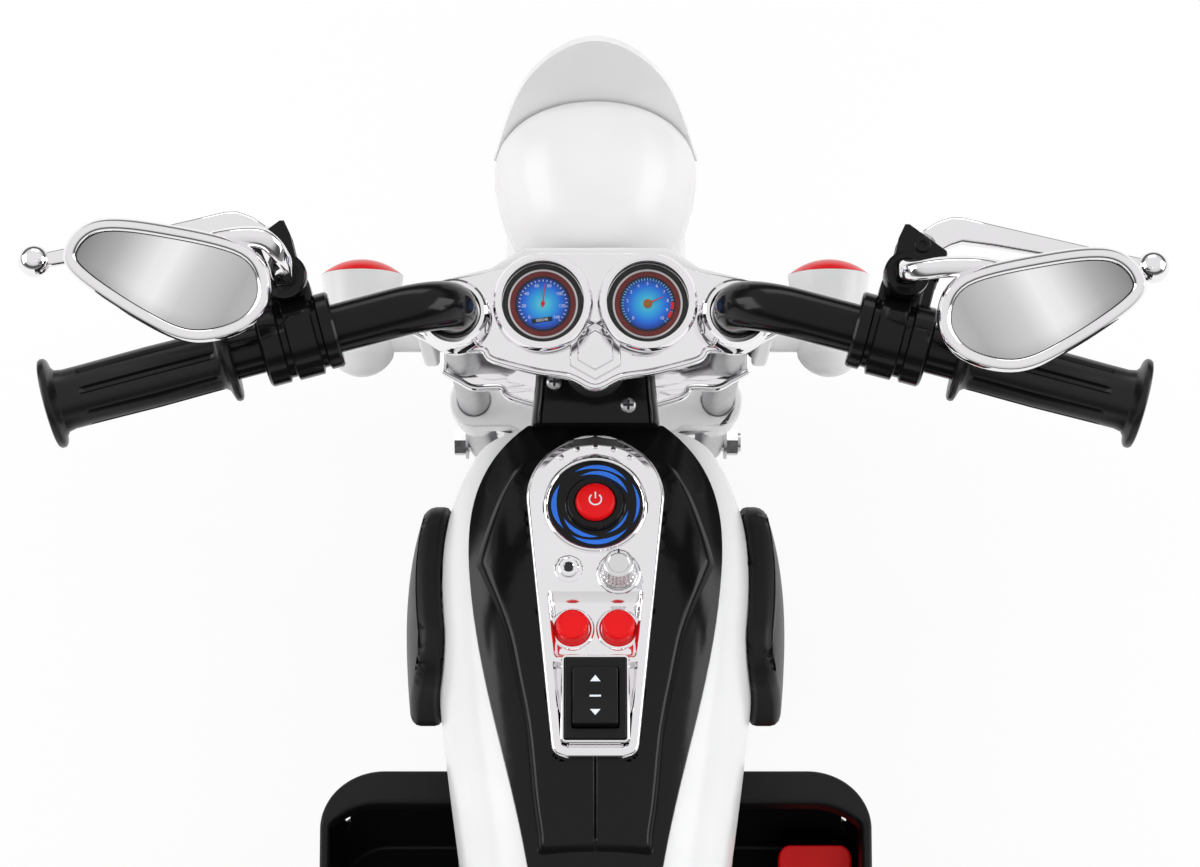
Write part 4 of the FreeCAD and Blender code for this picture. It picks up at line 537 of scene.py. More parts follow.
white_ink = ink("white_ink", (0.85, 0.9, 0.95))
cyan_ink = ink("cyan_ink", (0.3, 0.85, 0.95))
red_ink = ink("red_ink", (0.75, 0.02, 0.015))
# The dark ink is real print on the odometer window and the knob's pointer, the dark plug in the audio socket,
# and painted shade for the cover screws' cross recesses.
dark_ink_and_painted_shade = ink("dark_ink_and_painted_shade", (0.01, 0.012, 0.018))
amber = moulded("hub_amber", (0.42, 0.15, 0.03), 0.3)
ODOMETER = Matrix.Translation((-0.4, -7.0, 0)) @ Matrix.Rotation(math.radians(8.0), 4, "Z")
SPEED_HUB = [(0.9, 0.4), (0.9, 1.0), (TIP, 1.1)]
REV_HUB = [(1.9, 0.3), (1.9, 1.0), (1.4, 1.3), (TIP, 1.4)]
RED_BLOCK_ANGLES = (-4.0, -26.0)
RED_BLOCK_RADIUS = 10.6
speed_place, rev_place = dial_places
speed_marks = scale_marks(29, inner=9.7, outer=10.5, half_width=0.16)
speed_marks += scale_numbers(range(0, 150, 20), radius=8.2, height=1.9)
speed_marks.append(moved(at(lettering("000240", height=1.7), (0, 0), 2 * INK), ODOMETER))
build("speed_scale", speed_marks, white_ink, "fork", "dial", speed_place)
odometer_window = moved(bar_mark(0, 0, half_x=4.4, half_y=1.0), ODOMETER)
build("speed_window", [odometer_window], dark_ink_and_painted_shade, "fork", "dial", speed_place)
speed_needle = [needle(84.0, length=8.8, tail=1.6, half_width=0.34), turned(SPEED_HUB, 20)]
build("speed_needle", speed_needle, red_ink, "fork", "dial", speed_place)
rev_marks = scale_marks(41, inner=10.1, outer=11.2, half_width=0.13)
build("rev_scale", rev_marks, cyan_ink, "fork", "dial", rev_place)
rev_numbers = scale_numbers(range(11), radius=8.7, height=1.9)
build("rev_numbers", rev_numbers, white_ink, "fork", "dial", rev_place)
rev_needle = [needle(24.0, length=7.4, tail=1.4, half_width=0.4)]
for angle in map(math.radians, RED_BLOCK_ANGLES):
    rev_needle.append(bar_mark(*polar(RED_BLOCK_RADIUS, angle), 0.7, 1.5, angle, height=2 * INK))
build("rev_needle", rev_needle, red_ink, "fork", "dial", rev_place)
build("rev_hub", [turned(REV_HUB, 24)], amber, "fork", "dial", rev_place)
dress(chrome, "gauge_housing")
dial_cover = Finish("dial_cover", {"Base Color": (0.01, 0.01, 0.012, 1.0), "Roughness": 0.04, "Alpha": 0.06})
dial_cover.bump(dial_cover.noise(LENS_WAVE, detail=1.0), LENS_DEPTH)
dress(dial_cover, "gauge_lenses")
BEZEL = [(21.1, -6.0), (21.4, -3.0), (21.2, -1.2), (20.3, 0.2), (19.0, 0.5), (18.1, 0.1), (17.6, -1.4),
         (17.4, -3.0)]
bezels = [at(turned(BEZEL, 64, caps=False), spot, GAUGE_TOP) for spot in GAUGE_SPOTS]
build("gauge_bezels", bezels, chrome, "fork", "chrome", FORK)

# Handlebars and grips: gloss black tubes pushed into the clamp sockets, and soft black grips with long
# raised ribs, a flange at each end and a shallow dish in the cap.
BAR_UP = 436.0
BAR_SWEEP = math.radians(15.0)
GRIP_START = 93.0
GRIP_RADIUS = 12.6
GRIP_STEPS = 96
GRIP = [(0, 10.8, 0), (0, 17.6, 0), (0.6, 18.7, 0), (1.8, 19, 0), (3.0, 18.5, 0), (3.8, 16.5, 0),
        (4.6, 13.8, 0), (6, 12.7, 0), (7, GRIP_RADIUS, 0), (9, GRIP_RADIUS, 1), (34, 12.9, 1),
        (62, GRIP_RADIUS, 1), (64, GRIP_RADIUS, 0), (70, GRIP_RADIUS, 0), (73.2, 13.2, 0), (74.6, 15, 0),
        (75.2, 17.8, 0), (76, 18.8, 0), (77.4, 19, 0), (78.5, 18.4, 0), (79, 17, 0), (78.6, 15.6, 0),
        (77.8, 14.4, 0), (77.8, TIP, 0)]
RIB_COUNT = 8
RIB_GROOVE = 1.9
RIB_EDGE = 0.34
RIB_SLOPE = 0.14
black = moulded("gloss_black_plastic", (0.005, 0.005, 0.0055), 0.15, grain=130.0, specular=0.2)
rubber = moulded("grip_rubber", (0.006, 0.006, 0.0065), 0.3, peel=3e-5, grain=800.0, specular=0.3)
dress(black, "handlebars")
BAR = FORK @ Matrix.Translation((FORK_HALF, 0, BAR_UP)) @ Matrix.Rotation(-BAR_SWEEP, 4, "Z")


def smooth_step(share):
    share = min(max(share, 0.0), 1.0)
    return share * share * (3 - 2 * share)


def about_bar(stations):
    """A form turned about the bar from places along it, radii and a share of the rib grooves."""
    rings = []
    for along, radius, share in stations:
        ring = []
        for step in range(GRIP_STEPS):
            across = abs((step * RIB_COUNT / GRIP_STEPS + 0.5) % 1 - 0.5) * 2
            deep = radius - RIB_GROOVE * share * smooth_step((RIB_EDGE - across) / RIB_SLOPE)
            ring.append((along, *polar(deep, ROUND * step / GRIP_STEPS)))
        rings.append(ring)
    return skin(rings)


def on_side(side, place):
    """A place as it is on the right, or its reflection on the left."""
    return MIRROR @ place if side == "left" else place


grip = about_bar([(GRIP_START + along, radius, share) for along, radius, share in GRIP])
for side in ("left", "right"):
    build("grip_" + side, [grip], rubber, "fork", "grip", on_side(side, BAR), "grips")

# Controls: a black stepped clamp on each bar with a pointed perch, a plated lever on the perch pin with a
# ball at its end, and a socket block for the mirror.
CONTROL_ROLL = {"left": 0.0, "right": math.radians(-6.0)}
COLLAR = [(49, 11), (49, 15.2), (50, 16), (54.5, 16), (55.3, 14.6), (57.2, 14.6), (58, 17), (68.5, 17),
          (69.3, 15.2), (71.5, 15.2), (72.3, 16.8), (79.6, 16.8), (80.6, 16), (81, 14.6), (81, 11)]
PERCH_LOW = -16.9
PERCH_HIGH = -3.1
PERCH_PLATE = 3.0
PERCH_LID = 1.0
PERCH_EASE = 0.8
BLOCK_EASE = 1.4
PERCH = [(57.8, 30), (78.2, 30), (79, 42.6), (78.4, 43.8), (60.6, 51), (58.8, 50.6), (57.6, 44)]
PERCH_ROOT = [(58.5, 4), (77.5, 4), (77.5, 35), (58.5, 35)]
MIRROR_SOCKET = Vector((64, 24, 0))
SOCKET_BARREL = [(5, -15), (6.6, -13.6), (7.6, -9), (8.6, 0), (9.2, 8), (9.6, 14), (9.4, 16.6), (8.6, 17.4),
                 (6.4, 17.4), (6.2, 15)]
FOOT_AT = (64, 12)
FOOT_OUTLINE = rounded(9, 12, 3)
FOOT_LEVELS = (-9, 6)
STUB_AT = (75, 0)
STUB_OUTLINE = rounded(5, 6, 2)
STUB_LEVELS = (-20, 0)
STUB_EASE = 1.0
PIVOT = Vector((68, 43.5, -10))
LEVER_SPLAY = math.radians(11.0)
LEVER = [(-3, -0.6, 9, 6.6), (0, 1, 14, 7), (6, 5, 15, 7), (12, 8.4, 13.4, 7), (17, 9.6, 11.4, 7),
         (30, 8.2, 9.8, 6.4), (50, 5.6, 8.6, 6), (75, 2.2, 7.4, 5.6), (90, 0.4, 6.6, 5.4), (96, 0, 5.6, 5.2),
         (99, 0, 4, 4)]
LEVER_CORNER = 0.3
LEVER_REACH = 98.0
LEVER_BALL = 6.75
BALL_STEPS = 16
LEVER_HUB = [(6.6, -3.5), (7.6, -2.9), (7.8, -2), (7.8, 2), (7.6, 2.9), (6.6, 3.5)]
LEVER_SCREW = [(2.8, 6.9), (3.6, 6.9), (3.6, 8.2), (3.1, 8.8), (1.6, 8.9), (1.4, 8.2), (TIP, 8.2)]
ball_profile = []
for step in range(BALL_STEPS + 1):
    down, out = polar(LEVER_BALL, math.pi * step / BALL_STEPS)
    ball_profile.append((max(out, TIP), -down))
blade = []
for along, middle, width, thick in LEVER:
    section = rounded(width / 2, thick / 2, min(thick, width) * LEVER_CORNER, 3)
    blade.append([(along, middle + y, z) for y, z in section])
lever = [skin(blade), at(turned(ball_profile, 32), (LEVER_REACH, 0)), turned(LEVER_HUB, 32)]
mount = [about_bar([(along, radius, 0) for along, radius in COLLAR]),
         prism(PERCH_ROOT, PERCH_LOW, PERCH_HIGH, BLOCK_EASE),
         prism(PERCH, PERCH_LOW, PERCH_LOW + PERCH_PLATE, PERCH_EASE),
         prism(PERCH, PERCH_HIGH - PERCH_PLATE, PERCH_HIGH + PERCH_LID, PERCH_EASE),
         moved(turned(SOCKET_BARREL, 40), Matrix.Translation(MIRROR_SOCKET)),
         at(prism(FOOT_OUTLINE, *FOOT_LEVELS, BLOCK_EASE), FOOT_AT),
         at(prism(STUB_OUTLINE, *STUB_LEVELS, STUB_EASE), STUB_AT)]
controls = {}
for side in ("left", "right"):
    place = on_side(side, BAR @ Matrix.Rotation(CONTROL_ROLL[side], 4, "X"))
    controls[side] = place
    build("control_mount_" + side, mount, black, "fork", "black_gloss", place, "control_clamp_" + side)
    lever_place = place @ Matrix.Translation(PIVOT) @ Matrix.Rotation(LEVER_SPLAY, 4, "Z")
    build("brake_lever_" + side, lever, chrome, side + "_lever", "chrome", lever_place, "lever_" + side)
    build("lever_screw_" + side, [turned(LEVER_SCREW, 24)], satin_black, "fork", "steel", lever_place)

# Mirrors: a plated teardrop shell with a rolled rim, a slightly domed glass let into its face, and a plated
# arm that comes over the bar and turns in the clamp's socket. The glass's colour holds a painted reflection:
# a bright band across its face with grey to either side.
TEARDROP = ((-0.97, -0.2), (-0.78, 0.5), (0.08, 0.9), (0.73, 1.0), (1.0, 0.65), (0.93, 0.25), (0.3, -0.55),
            (-0.24, -0.98), (-0.76, -0.78))
HALF_LENGTH = 37.0
HALF_HEIGHT = 20.0
MIRROR_PITCH = math.radians(10.0)
MIRROR_AT = {"left": (172, -0.3, 477.5), "right": (179, -12.9, 481)}
RIM = [(0, -2.2), (-0.1, 0.4), (-0.8, 1.2), (-2.4, 1.7), (-4.0, 1.1), (-5.0, -0.6), (-5.3, -3), (-5.1, -5.5)]
BACK = [(0.95, -8.6), (0.87, -11.2), (0.75, -13.2), (0.58, -14.5), (0.35, -15.1), (0.08, -15.3)]
BACK_RISE = 9.0
GLASS = [(1.0, -1.4), (0.985, -0.7), (0.9, -0.35), (0.7, 0.1), (0.45, 0.4), (0.2, 0.55), (TIP, 0.6)]
SOCKET_TOP = 18.0
ARM_SECTION = rounded(4.6, 4.0, 2.6, 4)
ARM_SUNK = 2.0
ARM_STRAIGHT = 5.0
ARM_LEAN = (0, 1, 0.2)
KNEE_OUT = 1.0
KNEE_SHARE = 0.5
KNEE_UP = 8.0
KNEE_DEPTH = -12.0
ARM_END = [Vector((-37, 17.5, -7)), Vector((-21, 17, -7)), Vector((-4, 12, -11))]
# The mirror glass's painted reflection: its colour runs from grey to a bright band and back to grey across
# the face, set by place on the glass.
SHEEN_AHEAD = Vector((0, 0.45, 0.22))
SHEEN_OUT = 0.87
SHEEN_START = 0.276
SHEEN_REACH = 0.084
PAINTED_SHEEN = [(0.0, 0.62), (0.2, 0.5), (0.42, 0.72), (0.54, 1.0), (0.62, 0.94), (0.8, 0.5), (1.0, 0.24)]
SILVER_CLOUD = 300.0
SILVER_HAZE = 0.03
clockwise = smooth_line([(x * HALF_LENGTH, y * HALF_HEIGHT) for x, y in TEARDROP], 8, closed=True)
drop = [(point.x, point.y) for point in reversed(clockwise)]
outer = inset(drop, RIM[-1][0])
shell_rings = [[(x, y, depth) for x, y in inset(drop, grow)] for grow, depth in RIM]
shell_rings += [[(x * share, y * share + BACK_RISE * (1 - share), depth) for x, y in outer]
                for share, depth in BACK]
shell_points, shell_faces = skin(shell_rings, caps=False)
shell_faces.append(tuple(range(len(shell_points) - len(drop), len(shell_points))))
shell = shell_points, shell_faces
glass = skin([[(x * share, y * share, depth) for x, y in drop] for share, depth in GLASS])


def grey_stops(levels):
    return {"stops": [(place, (level, level, level)) for place, level in levels]}


# Silvered glass whose Base Color is a painted reflection, a bright band between greys, rather than the
# glass's own colour.
mirror_painted_reflection = Finish("silvered_glass_painted_reflection", {"Metallic": 1.0})
aside = mirror_painted_reflection.node("SeparateXYZ", {}, {0: mirror_painted_reflection.spot}, output="X")
ahead = mirror_painted_reflection.node("VectorMath", {"operation": "DOT_PRODUCT"},
                           {0: mirror_painted_reflection.spot, 1: SHEEN_AHEAD}, output="Value")
across = (aside.math("ABSOLUTE", aside) * SHEEN_OUT + ahead - SHEEN_START) * (1 / SHEEN_REACH)
mirror_painted_reflection.feed({"Base Color": mirror_painted_reflection.node("ValToRGB", grey_stops(PAINTED_SHEEN), {0: across}),
                    "Roughness": mirror_painted_reflection.noise(SILVER_CLOUD) * SILVER_HAZE})
for side in ("left", "right"):
    face = on_side(side, FORK @ Matrix.Translation(MIRROR_AT[side]) @ Matrix.Rotation(MIRROR_PITCH, 4, "X"))
    body = side + "_mirror"
    build("mirror_housing_" + side, [shell], chrome, body, "chrome", face, "mirror_shell_" + side)
    build("mirror_painted_reflection_" + side, [glass], mirror_painted_reflection, body, "mirror", face, "mirror_glass_" + side)
    back = face.inverted() @ controls[side]
    mouth = back @ (MIRROR_SOCKET + Vector((0, 0, SOCKET_TOP)))
    rise = (back.to_3x3() @ Vector((0, 0, 1))).normalized()
    knee = Vector((mouth.x + KNEE_OUT, mouth.y * KNEE_SHARE + KNEE_UP, KNEE_DEPTH))
    arm_line = smooth_line([mouth - ARM_SUNK * rise, mouth + ARM_STRAIGHT * rise, knee, *ARM_END])
    arm = swept([tuple(point) for point in arm_line], ARM_SECTION, ARM_LEAN)
    build("mirror_arm_" + side, [arm], chrome, body, "chrome", face)

# Tank: gloss white sides, a black top with a raised centre panel and a seam down its tail, black knee pads,
# and the black hood over the neck with its two cross-head screws, whose recesses are painted shade: dark
# crosses laid on the heads.
PLATE = 3.0
SWITCH = (0, -48.53)
PANEL_HALF_LENGTH = 74.5
PANEL_FRONT = 30.0
PANEL_BACK = 18.0
PANEL_CORNER = 6.0
PANEL_UP = -Vector(joints["start_press"]["axis"])
ROCKER_PIN = frame_of(Vector(joints["power_rock"]["pos_m"]), ACROSS, PANEL_UP.cross(ACROSS), PANEL_UP)
PANEL = ROCKER_PIN @ Matrix.Translation((0, -SWITCH[1], -PLATE))
ARC_U = PANEL_HALF_LENGTH - PANEL_FRONT


def panel_half(u):
    """The panel's half width: a round front, straight sides and round rear corners."""
    if u > ARC_U:
        return math.sqrt(max(PANEL_FRONT ** 2 - (u - ARC_U) ** 2, 0.0))
    half = PANEL_BACK + (PANEL_FRONT - PANEL_BACK) * (u + PANEL_HALF_LENGTH) / (ARC_U + PANEL_HALF_LENGTH)
    over = -PANEL_HALF_LENGTH + PANEL_CORNER - u
    if over > 0:
        half -= PANEL_CORNER - math.sqrt(max(PANEL_CORNER ** 2 - over ** 2, 0.0))
    return half


RIDGE = [(125, 28.8), (111.5, 37), (95, 43.5), (78, 48.6), (71, 47), (53.5, 40), (39, 35.5), (20, 31.5),
         (-3, 27), (-31, 24), (-46, 21.7)]
RIDGE_START = RIDGE[0][0]
RIDGE_BACK = -50.0
RIDGE_RISE = 2.4
RIDGE_STEP = 3.2
RIDGE_NOSE = 14.0
RIDGE_TUCK = 0.25
RIDGE_ROWS = 150
RIDGE_COLUMNS = 64
SEAM_HALF = 0.9
SEAM_START = -10.0
SEAM_RUN = 4.0
SEAM_DEEP = 0.8
OPENING_DEPTH = 12.0
OPENING_LAP = 1.0
OPENING_RUN = 1.5
TANK_LEVEL = 390.0
ABOVE_TANK = 600.0
dress(white, "tank_sides")
dress(black, "tank_top")
tank_top = frame["nodes"]["tank_top"].data
tank_surface = BVHTree.FromPolygons([vertex.co for vertex in tank_top.vertices],
                                    [tuple(face.vertices) for face in tank_top.polygons])
ridge_line = smooth_line([(half, y) for y, half in RIDGE], 8)
to_panel = PANEL.inverted()


def ridge_half(y):
    """The raised panel's half width at a place along the tank."""
    for near, far in zip(ridge_line, ridge_line[1:]):
        if far.y <= y <= near.y:
            return far.x + (near.x - far.x) * (y - far.y) / (near.y - far.y)
    return ridge_line[0].x if y > ridge_line[0].y else ridge_line[-1].x


def tank_height(x, y):
    hit = tank_surface.ray_cast(Vector((x, y, ABOVE_TANK)) / METRE, Vector((0, 0, -1)))[0]
    return hit.z * METRE if hit else None


def grid(points, width):
    """A skin over rows of points of equal width."""
    faces = []
    for here in range(len(points) - width):
        if (here + 1) % width:
            faces.append((here, here + 1, here + width + 1, here + width))
    return points, faces


ridge_points = []
for row in range(RIDGE_ROWS + 1):
    y = RIDGE_START + (RIDGE_BACK - RIDGE_STEP - RIDGE_START) * row / RIDGE_ROWS
    half = ridge_half(y) + RIDGE_STEP
    ends = smooth_step((y - RIDGE_BACK + RIDGE_STEP) / RIDGE_STEP)
    ends *= smooth_step((RIDGE_START - y) / RIDGE_NOSE)
    level = None
    for column in range(RIDGE_COLUMNS + 1):
        x = half * (2 * column / RIDGE_COLUMNS - 1)
        inside = smooth_step((half - abs(x)) / RIDGE_STEP) * ends
        seam = smooth_step(1 - abs(x) / SEAM_HALF) * smooth_step((SEAM_START - y) / SEAM_RUN)
        level = tank_height(x, y) or level or tank_height(-half, y) or TANK_LEVEL
        spot = to_panel @ (Vector((x, y, level)) / METRE)
        sunk = OPENING_DEPTH * smooth_step((panel_half(spot.y) - abs(spot.x) - OPENING_LAP) / OPENING_RUN)
        sunk *= smooth_step((PANEL_HALF_LENGTH - abs(spot.y) - OPENING_LAP) / OPENING_RUN)
        lift = (RIDGE_RISE - SEAM_DEEP * seam) * inside - RIDGE_TUCK * (1 - inside)
        ridge_points.append((x, y, level + lift - sunk))
build("tank_ridge", [grid(ridge_points, RIDGE_COLUMNS + 1)], black, "bike", "black_gloss", MM)
eased("knee_pads", satin_black, "bike", width=0.004)
HOOD_SIDE = [(26.8, 300), (26.8, 337), (26.2, 341.5), (24.8, 344.6), (23.4, 345.8), (22.9, 346),
             (22.5, 345.0), (22.1, 346), (12, 346.1), (4, 346.1)]
HOOD = [(3, 0.86, -3), (1.5, 0.9, 0), (-10, 0.96, 0), (-20, 0.99, 0), (-29, 1.02, 0), (-36, 1.05, 0),
        (-39, 1.06, -1), (-40, 1.05, -3)]
NECK_TOP = 346.0
SCREWS = ((-18.0, -21.2), (14.4, -31.6))
SCREW_HEAD = [(3.6, 0), (3.6, 1.0), (3.2, 1.8), (2.4, 2.3), (TIP, 2.5)]
CROSS = [(0.55, 2.2), (0.55, 0.55), (2.2, 0.55), (2.2, -0.55), (0.55, -0.55), (0.55, -2.2)]
CROSS_LEVELS = (1.6, 2.56)
hood_line = HOOD_SIDE + [(-x, z) for x, z in reversed(HOOD_SIDE)]
hood = skin([[(x * share, y, z + sink) for x, z in hood_line] for y, share, sink in HOOD])
build("neck_hood", [hood], black, "bike", "black_gloss", FORK, "neck_cover")
# The cross on each screw head is painted shade: a dark slab at the head's top in place of the shade inside a
# cross recess.
cross = slab(CROSS + [(-x, -y) for x, y in CROSS], CROSS_LEVELS)
for number, spot in enumerate(SCREWS):
    place = FORK @ Matrix.Translation((*spot, NECK_TOP))
    build(f"cover_screw_{number}", [turned(SCREW_HEAD, 28)], steel, "bike", "steel", place, "body_screws")
    build(f"screw_recess_painted_shade_{number}", [cross], dark_ink_and_painted_shade, "bike", "steel", place)

# Console: a plated panel let into the tank, with a rolled border, a recessed pocket round the two red push
# buttons, a frame round the rocker, rings round dish and knob, and small raised marks along its front.
DISH = (0, 41.39)
KNOB = (10.0, 9.35)
BUTTONS = {"horn": (-9.8, -15.55), "music": (9.8, -15.55)}
BUTTON_RADIUS = 7.0
PANEL_SKIRT = -6.0
BORDER_RISE = 0.8
BORDER_ROUND = 1.5
BORDER_WIDTH = 4.0
BORDER_SLOPE = 5.0
POCKET_FRONT = 2.0
POCKET_BACK = -29.6
POCKET_DEEP = 4.4
POCKET_SHALLOW = 1.8
POCKET_RUN = 6.0
POCKET_EDGE = 4.8
POCKET_SIDE = 2.4
WELL_FRONT = -31.2
WELL_DEEP = 4.5
WELL_SIDE = 1.4
STEP_RUN = 1.8
ROCKER_ROOM = (13.4, 18.6, 8.0)
EDGE_STEPS = 90
edge_u = [-PANEL_HALF_LENGTH + 2 * PANEL_HALF_LENGTH * step / EDGE_STEPS for step in range(EDGE_STEPS + 1)]
edge = [Vector((0, -PANEL_HALF_LENGTH))] + [Vector((panel_half(u), u)) for u in edge_u]


def edge_gap(x, u):
    """How far a point of the panel lies inside its edge."""
    here = Vector((abs(x), u))
    best = math.inf
    for start, end in zip(edge, edge[1:]):
        run = end - start
        share = min(max((here - start).dot(run) / max(run.length_squared, 1e-9), 0.0), 1.0)
        best = min(best, (here - start - run * share).length)
    return best


def eased_ramp(share, ease=0.1):
    """A straight slope from nought to one with short rounded ends."""
    share = min(max(share, 0.0), 1.0)
    if share > 0.5:
        return 1 - eased_ramp(1 - share, ease)
    return (share ** 2 / (2 * ease) if share < ease else share - ease / 2) / (1 - ease)


def panel_level(x, u):
    """The panel's height: rolled border, button pocket, and the well round the switch."""
    gap = edge_gap(x, u)
    level = PLATE + BORDER_RISE * (1 - smooth_step((gap - BORDER_WIDTH) / BORDER_SLOPE))
    if gap < BORDER_ROUND:
        level -= BORDER_ROUND - math.sqrt(max(BORDER_ROUND ** 2 - (BORDER_ROUND - gap) ** 2, 0.0))
    deep = POCKET_SHALLOW + (POCKET_DEEP - POCKET_SHALLOW) * (u - POCKET_BACK) / (POCKET_FRONT - POCKET_BACK)
    deep *= smooth_step((gap - POCKET_EDGE) / POCKET_SIDE)
    level -= deep * eased_ramp((POCKET_FRONT - u) / POCKET_RUN) * smooth_step((u - POCKET_BACK) / STEP_RUN)
    well = smooth_step((gap - BORDER_WIDTH) / WELL_SIDE) * smooth_step((WELL_FRONT - u) / STEP_RUN)
    level -= WELL_DEEP * well
    if abs(x) < ROCKER_ROOM[0] and abs(u - SWITCH[1]) < ROCKER_ROOM[1]:
        level -= ROCKER_ROOM[2]
    return level


STRAIGHT_ROWS = 180
ARC_ROWS = 60
PANEL_ROWS = STRAIGHT_ROWS + ARC_ROWS
PANEL_COLUMNS = 100
NARROWEST = 0.05
straight = ARC_U + PANEL_HALF_LENGTH
row_u = [straight * row / STRAIGHT_ROWS - PANEL_HALF_LENGTH for row in range(STRAIGHT_ROWS)]
row_u += [ARC_U + PANEL_FRONT * math.sin(ROUND / 4 * row / ARC_ROWS) for row in range(ARC_ROWS + 1)]
panel_points = []
for row in range(-1, PANEL_ROWS + 2):
    u = row_u[min(max(row, 0), PANEL_ROWS)]
    half = max(panel_half(u), NARROWEST)
    for column in range(-1, PANEL_COLUMNS + 2):
        share = min(max(column, 0), PANEL_COLUMNS) / PANEL_COLUMNS
        x = half * math.sin(ROUND / 4 * (2 * share - 1))
        on_top = 0 <= row <= PANEL_ROWS and 0 <= column <= PANEL_COLUMNS
        panel_points.append((x, u, panel_level(x, u) if on_top else PANEL_SKIRT))
RING_EASE = 0.5
RING_CROWN = 0.15
RING_GAP = 0.35
RING_REACH = 2.6
RING_ROOT = PLATE - 1


def collar(inner, outer, low, high):
    """A ring with a rounded top."""
    return turned([(outer, low), (outer, high - RING_EASE), (outer - RING_EASE, high),
                   ((inner + outer) / 2, high + RING_CROWN), (inner + RING_EASE, high),
                   (inner, high - RING_EASE), (inner, low)], caps=False)


button_ring = collar(BUTTON_RADIUS + RING_GAP, BUTTON_RADIUS + RING_REACH, low=-4.0, high=1.4)
panel_rings = [at(button_ring, place) for place in BUTTONS.values()]
panel_rings.append(at(collar(inner=7.6, outer=9.6, low=RING_ROOT, high=PLATE + 0.7), KNOB))
panel_rings.append(at(collar(inner=20.6, outer=22.4, low=RING_ROOT, high=PLATE + 1.9), DISH))
FRAME_OUTLINE = rounded(14.6, 19.9, 2.2)
FRAME_STEPS = ((0, -6.0), (0, 0.9), (0.4, 1.4), (1.1, 1.4), (1.5, 0.9), (1.5, -6.0))
frame_rings = [[(x, u, level) for x, u in inset(FRAME_OUTLINE, amount)] for amount, level in FRAME_STEPS]
switch_frame = at(skin(frame_rings, caps=False), SWITCH, PLATE)
MARK_ANGLES = (52, 71, 90, 109, 128)
MARK_RADIUS = 24.4
MARK_OUTLINE = rounded(1.2, 1.1, 0.5, 3)
MARK_LOW = PLATE + 0.2
MARK_HIGH = PLATE + 1.3
MARK_EASE = 0.25
mark = prism(MARK_OUTLINE, MARK_LOW, MARK_HIGH, MARK_EASE)
marks = []
for angle in MARK_ANGLES:
    aside, ahead = polar(MARK_RADIUS, math.radians(angle))
    marks.append(at(moved(mark, Matrix.Rotation(math.radians(angle - 90), 4, "Z")), (aside, ARC_U + ahead)))
console = [grid(panel_points, PANEL_COLUMNS + 3), *panel_rings, switch_frame, *marks]
build("console", console, chrome, "bike", "chrome", PANEL, "console_panel")

# Start dish and buttons: a dark glossy disc printed with plain blue sweeps, with a black collar for the red
# start button, and the two red push buttons behind it. All are gloss mouldings; the buttons slide on springs.
DISH_PROFILE = [(20.8, -0.5), (20.8, 1.2), (20.2, 1.3), (16, 0.8), (13.2, 0.7), (12.8, 1.0), (12.5, 2.4),
                (11.8, 3.0), (9.4, 3.0), (8.9, 2.2)]
start_bowl = at(turned(DISH_PROFILE, 72), DISH, PLATE)
build("start_bowl", [start_bowl], black, "bike", "black_gloss", PANEL, "start_dish")
SWEEPS = ((14.9, 2.2, 20, 95), (17.6, 1.9, 40, 80), (18.0, 2.4, 150, 70), (15.2, 2.0, 205, 70),
          (18.0, 2.2, 235, 85), (14.4, 1.2, 290, 60), (18.6, 1.4, 330, 60))
SWEEP_STEPS = 24
PRINT_LIFT = 0.86
PRINT_RADIUS = 16
DISH_SLOPE = 0.11
blue_print = moulded("blue_print", (0.03, 0.19, 0.85), 0.15, specular=0.25)


def sweep_form(radius, width, start, turn):
    """A printed arc that follows the dish's slope and tapers at both ends."""
    rings = []
    for step in range(SWEEP_STEPS + 1):
        angle = math.radians(start + turn * step / SWEEP_STEPS)
        half = max(width / 2 * math.sin(math.pi * step / SWEEP_STEPS), TIP)
        lift = PLATE + PRINT_LIFT + DISH_SLOPE * (radius - PRINT_RADIUS)
        rings.append([(*polar(radius + reach, angle), lift + level)
                      for reach, level in ((-half, 0), (half, 0.1), (half, 0.22), (-half, 0.12))])
    return skin(rings)


sweeps = [at(sweep_form(*values), DISH) for values in SWEEPS]
build("dish_sweeps", sweeps, blue_print, "bike", "black_gloss", PANEL)
SHOULDER = 0.35
red = moulded("gloss_red_plastic", (0.84, 0.006, 0.009), 0.3, specular=0.2)


def cap(radius, low, high, ease, dome):
    """A button's cap: a round shoulder and a slightly domed top."""
    return turned([(radius, low), (radius, high - ease), (radius - ease * SHOULDER, high - ease * SHOULDER),
                   (radius - ease, high), (radius * 0.5, high + dome * 0.75), (TIP, high + dome)])


start_cap = cap(8.5, low=-0.5, high=8.6, ease=1.4, dome=0.8)
build("start_cap", [at(start_cap, DISH)], red, "start_button", "red", PANEL, "start_button")
POWER_RADIUS = 2.6
POWER_START = 130
POWER_TURN = 280
POWER_STEPS = 24
SIGN_HALF = 0.3
SIGN_LOW = 9.0
SIGN_THICK = 0.5
SIGN_SECTION = ((-SIGN_HALF, 0), (SIGN_HALF, 0), (SIGN_HALF, SIGN_THICK), (-SIGN_HALF, SIGN_THICK))
power_arc = []
for step in range(POWER_STEPS + 1):
    angle = math.radians(POWER_START + POWER_TURN * step / POWER_STEPS)
    power_arc.append([(*polar(POWER_RADIUS + reach, angle), level) for reach, level in SIGN_SECTION])
power_sign = [skin(power_arc), bar_mark(0, 1.9, SIGN_HALF, 1.5, height=SIGN_THICK)]
power_sign = [at(form, DISH, SIGN_LOW) for form in power_sign]
build("start_sign", power_sign, white_ink, "start_button", "red", PANEL)
push_cap = cap(BUTTON_RADIUS, low=-3.0, high=7.4, ease=1.5, dome=0.3)
for label, place in BUTTONS.items():
    build(label + "_cap", [at(push_cap, place)], red, label + "_button", "red", PANEL, label + "_button")

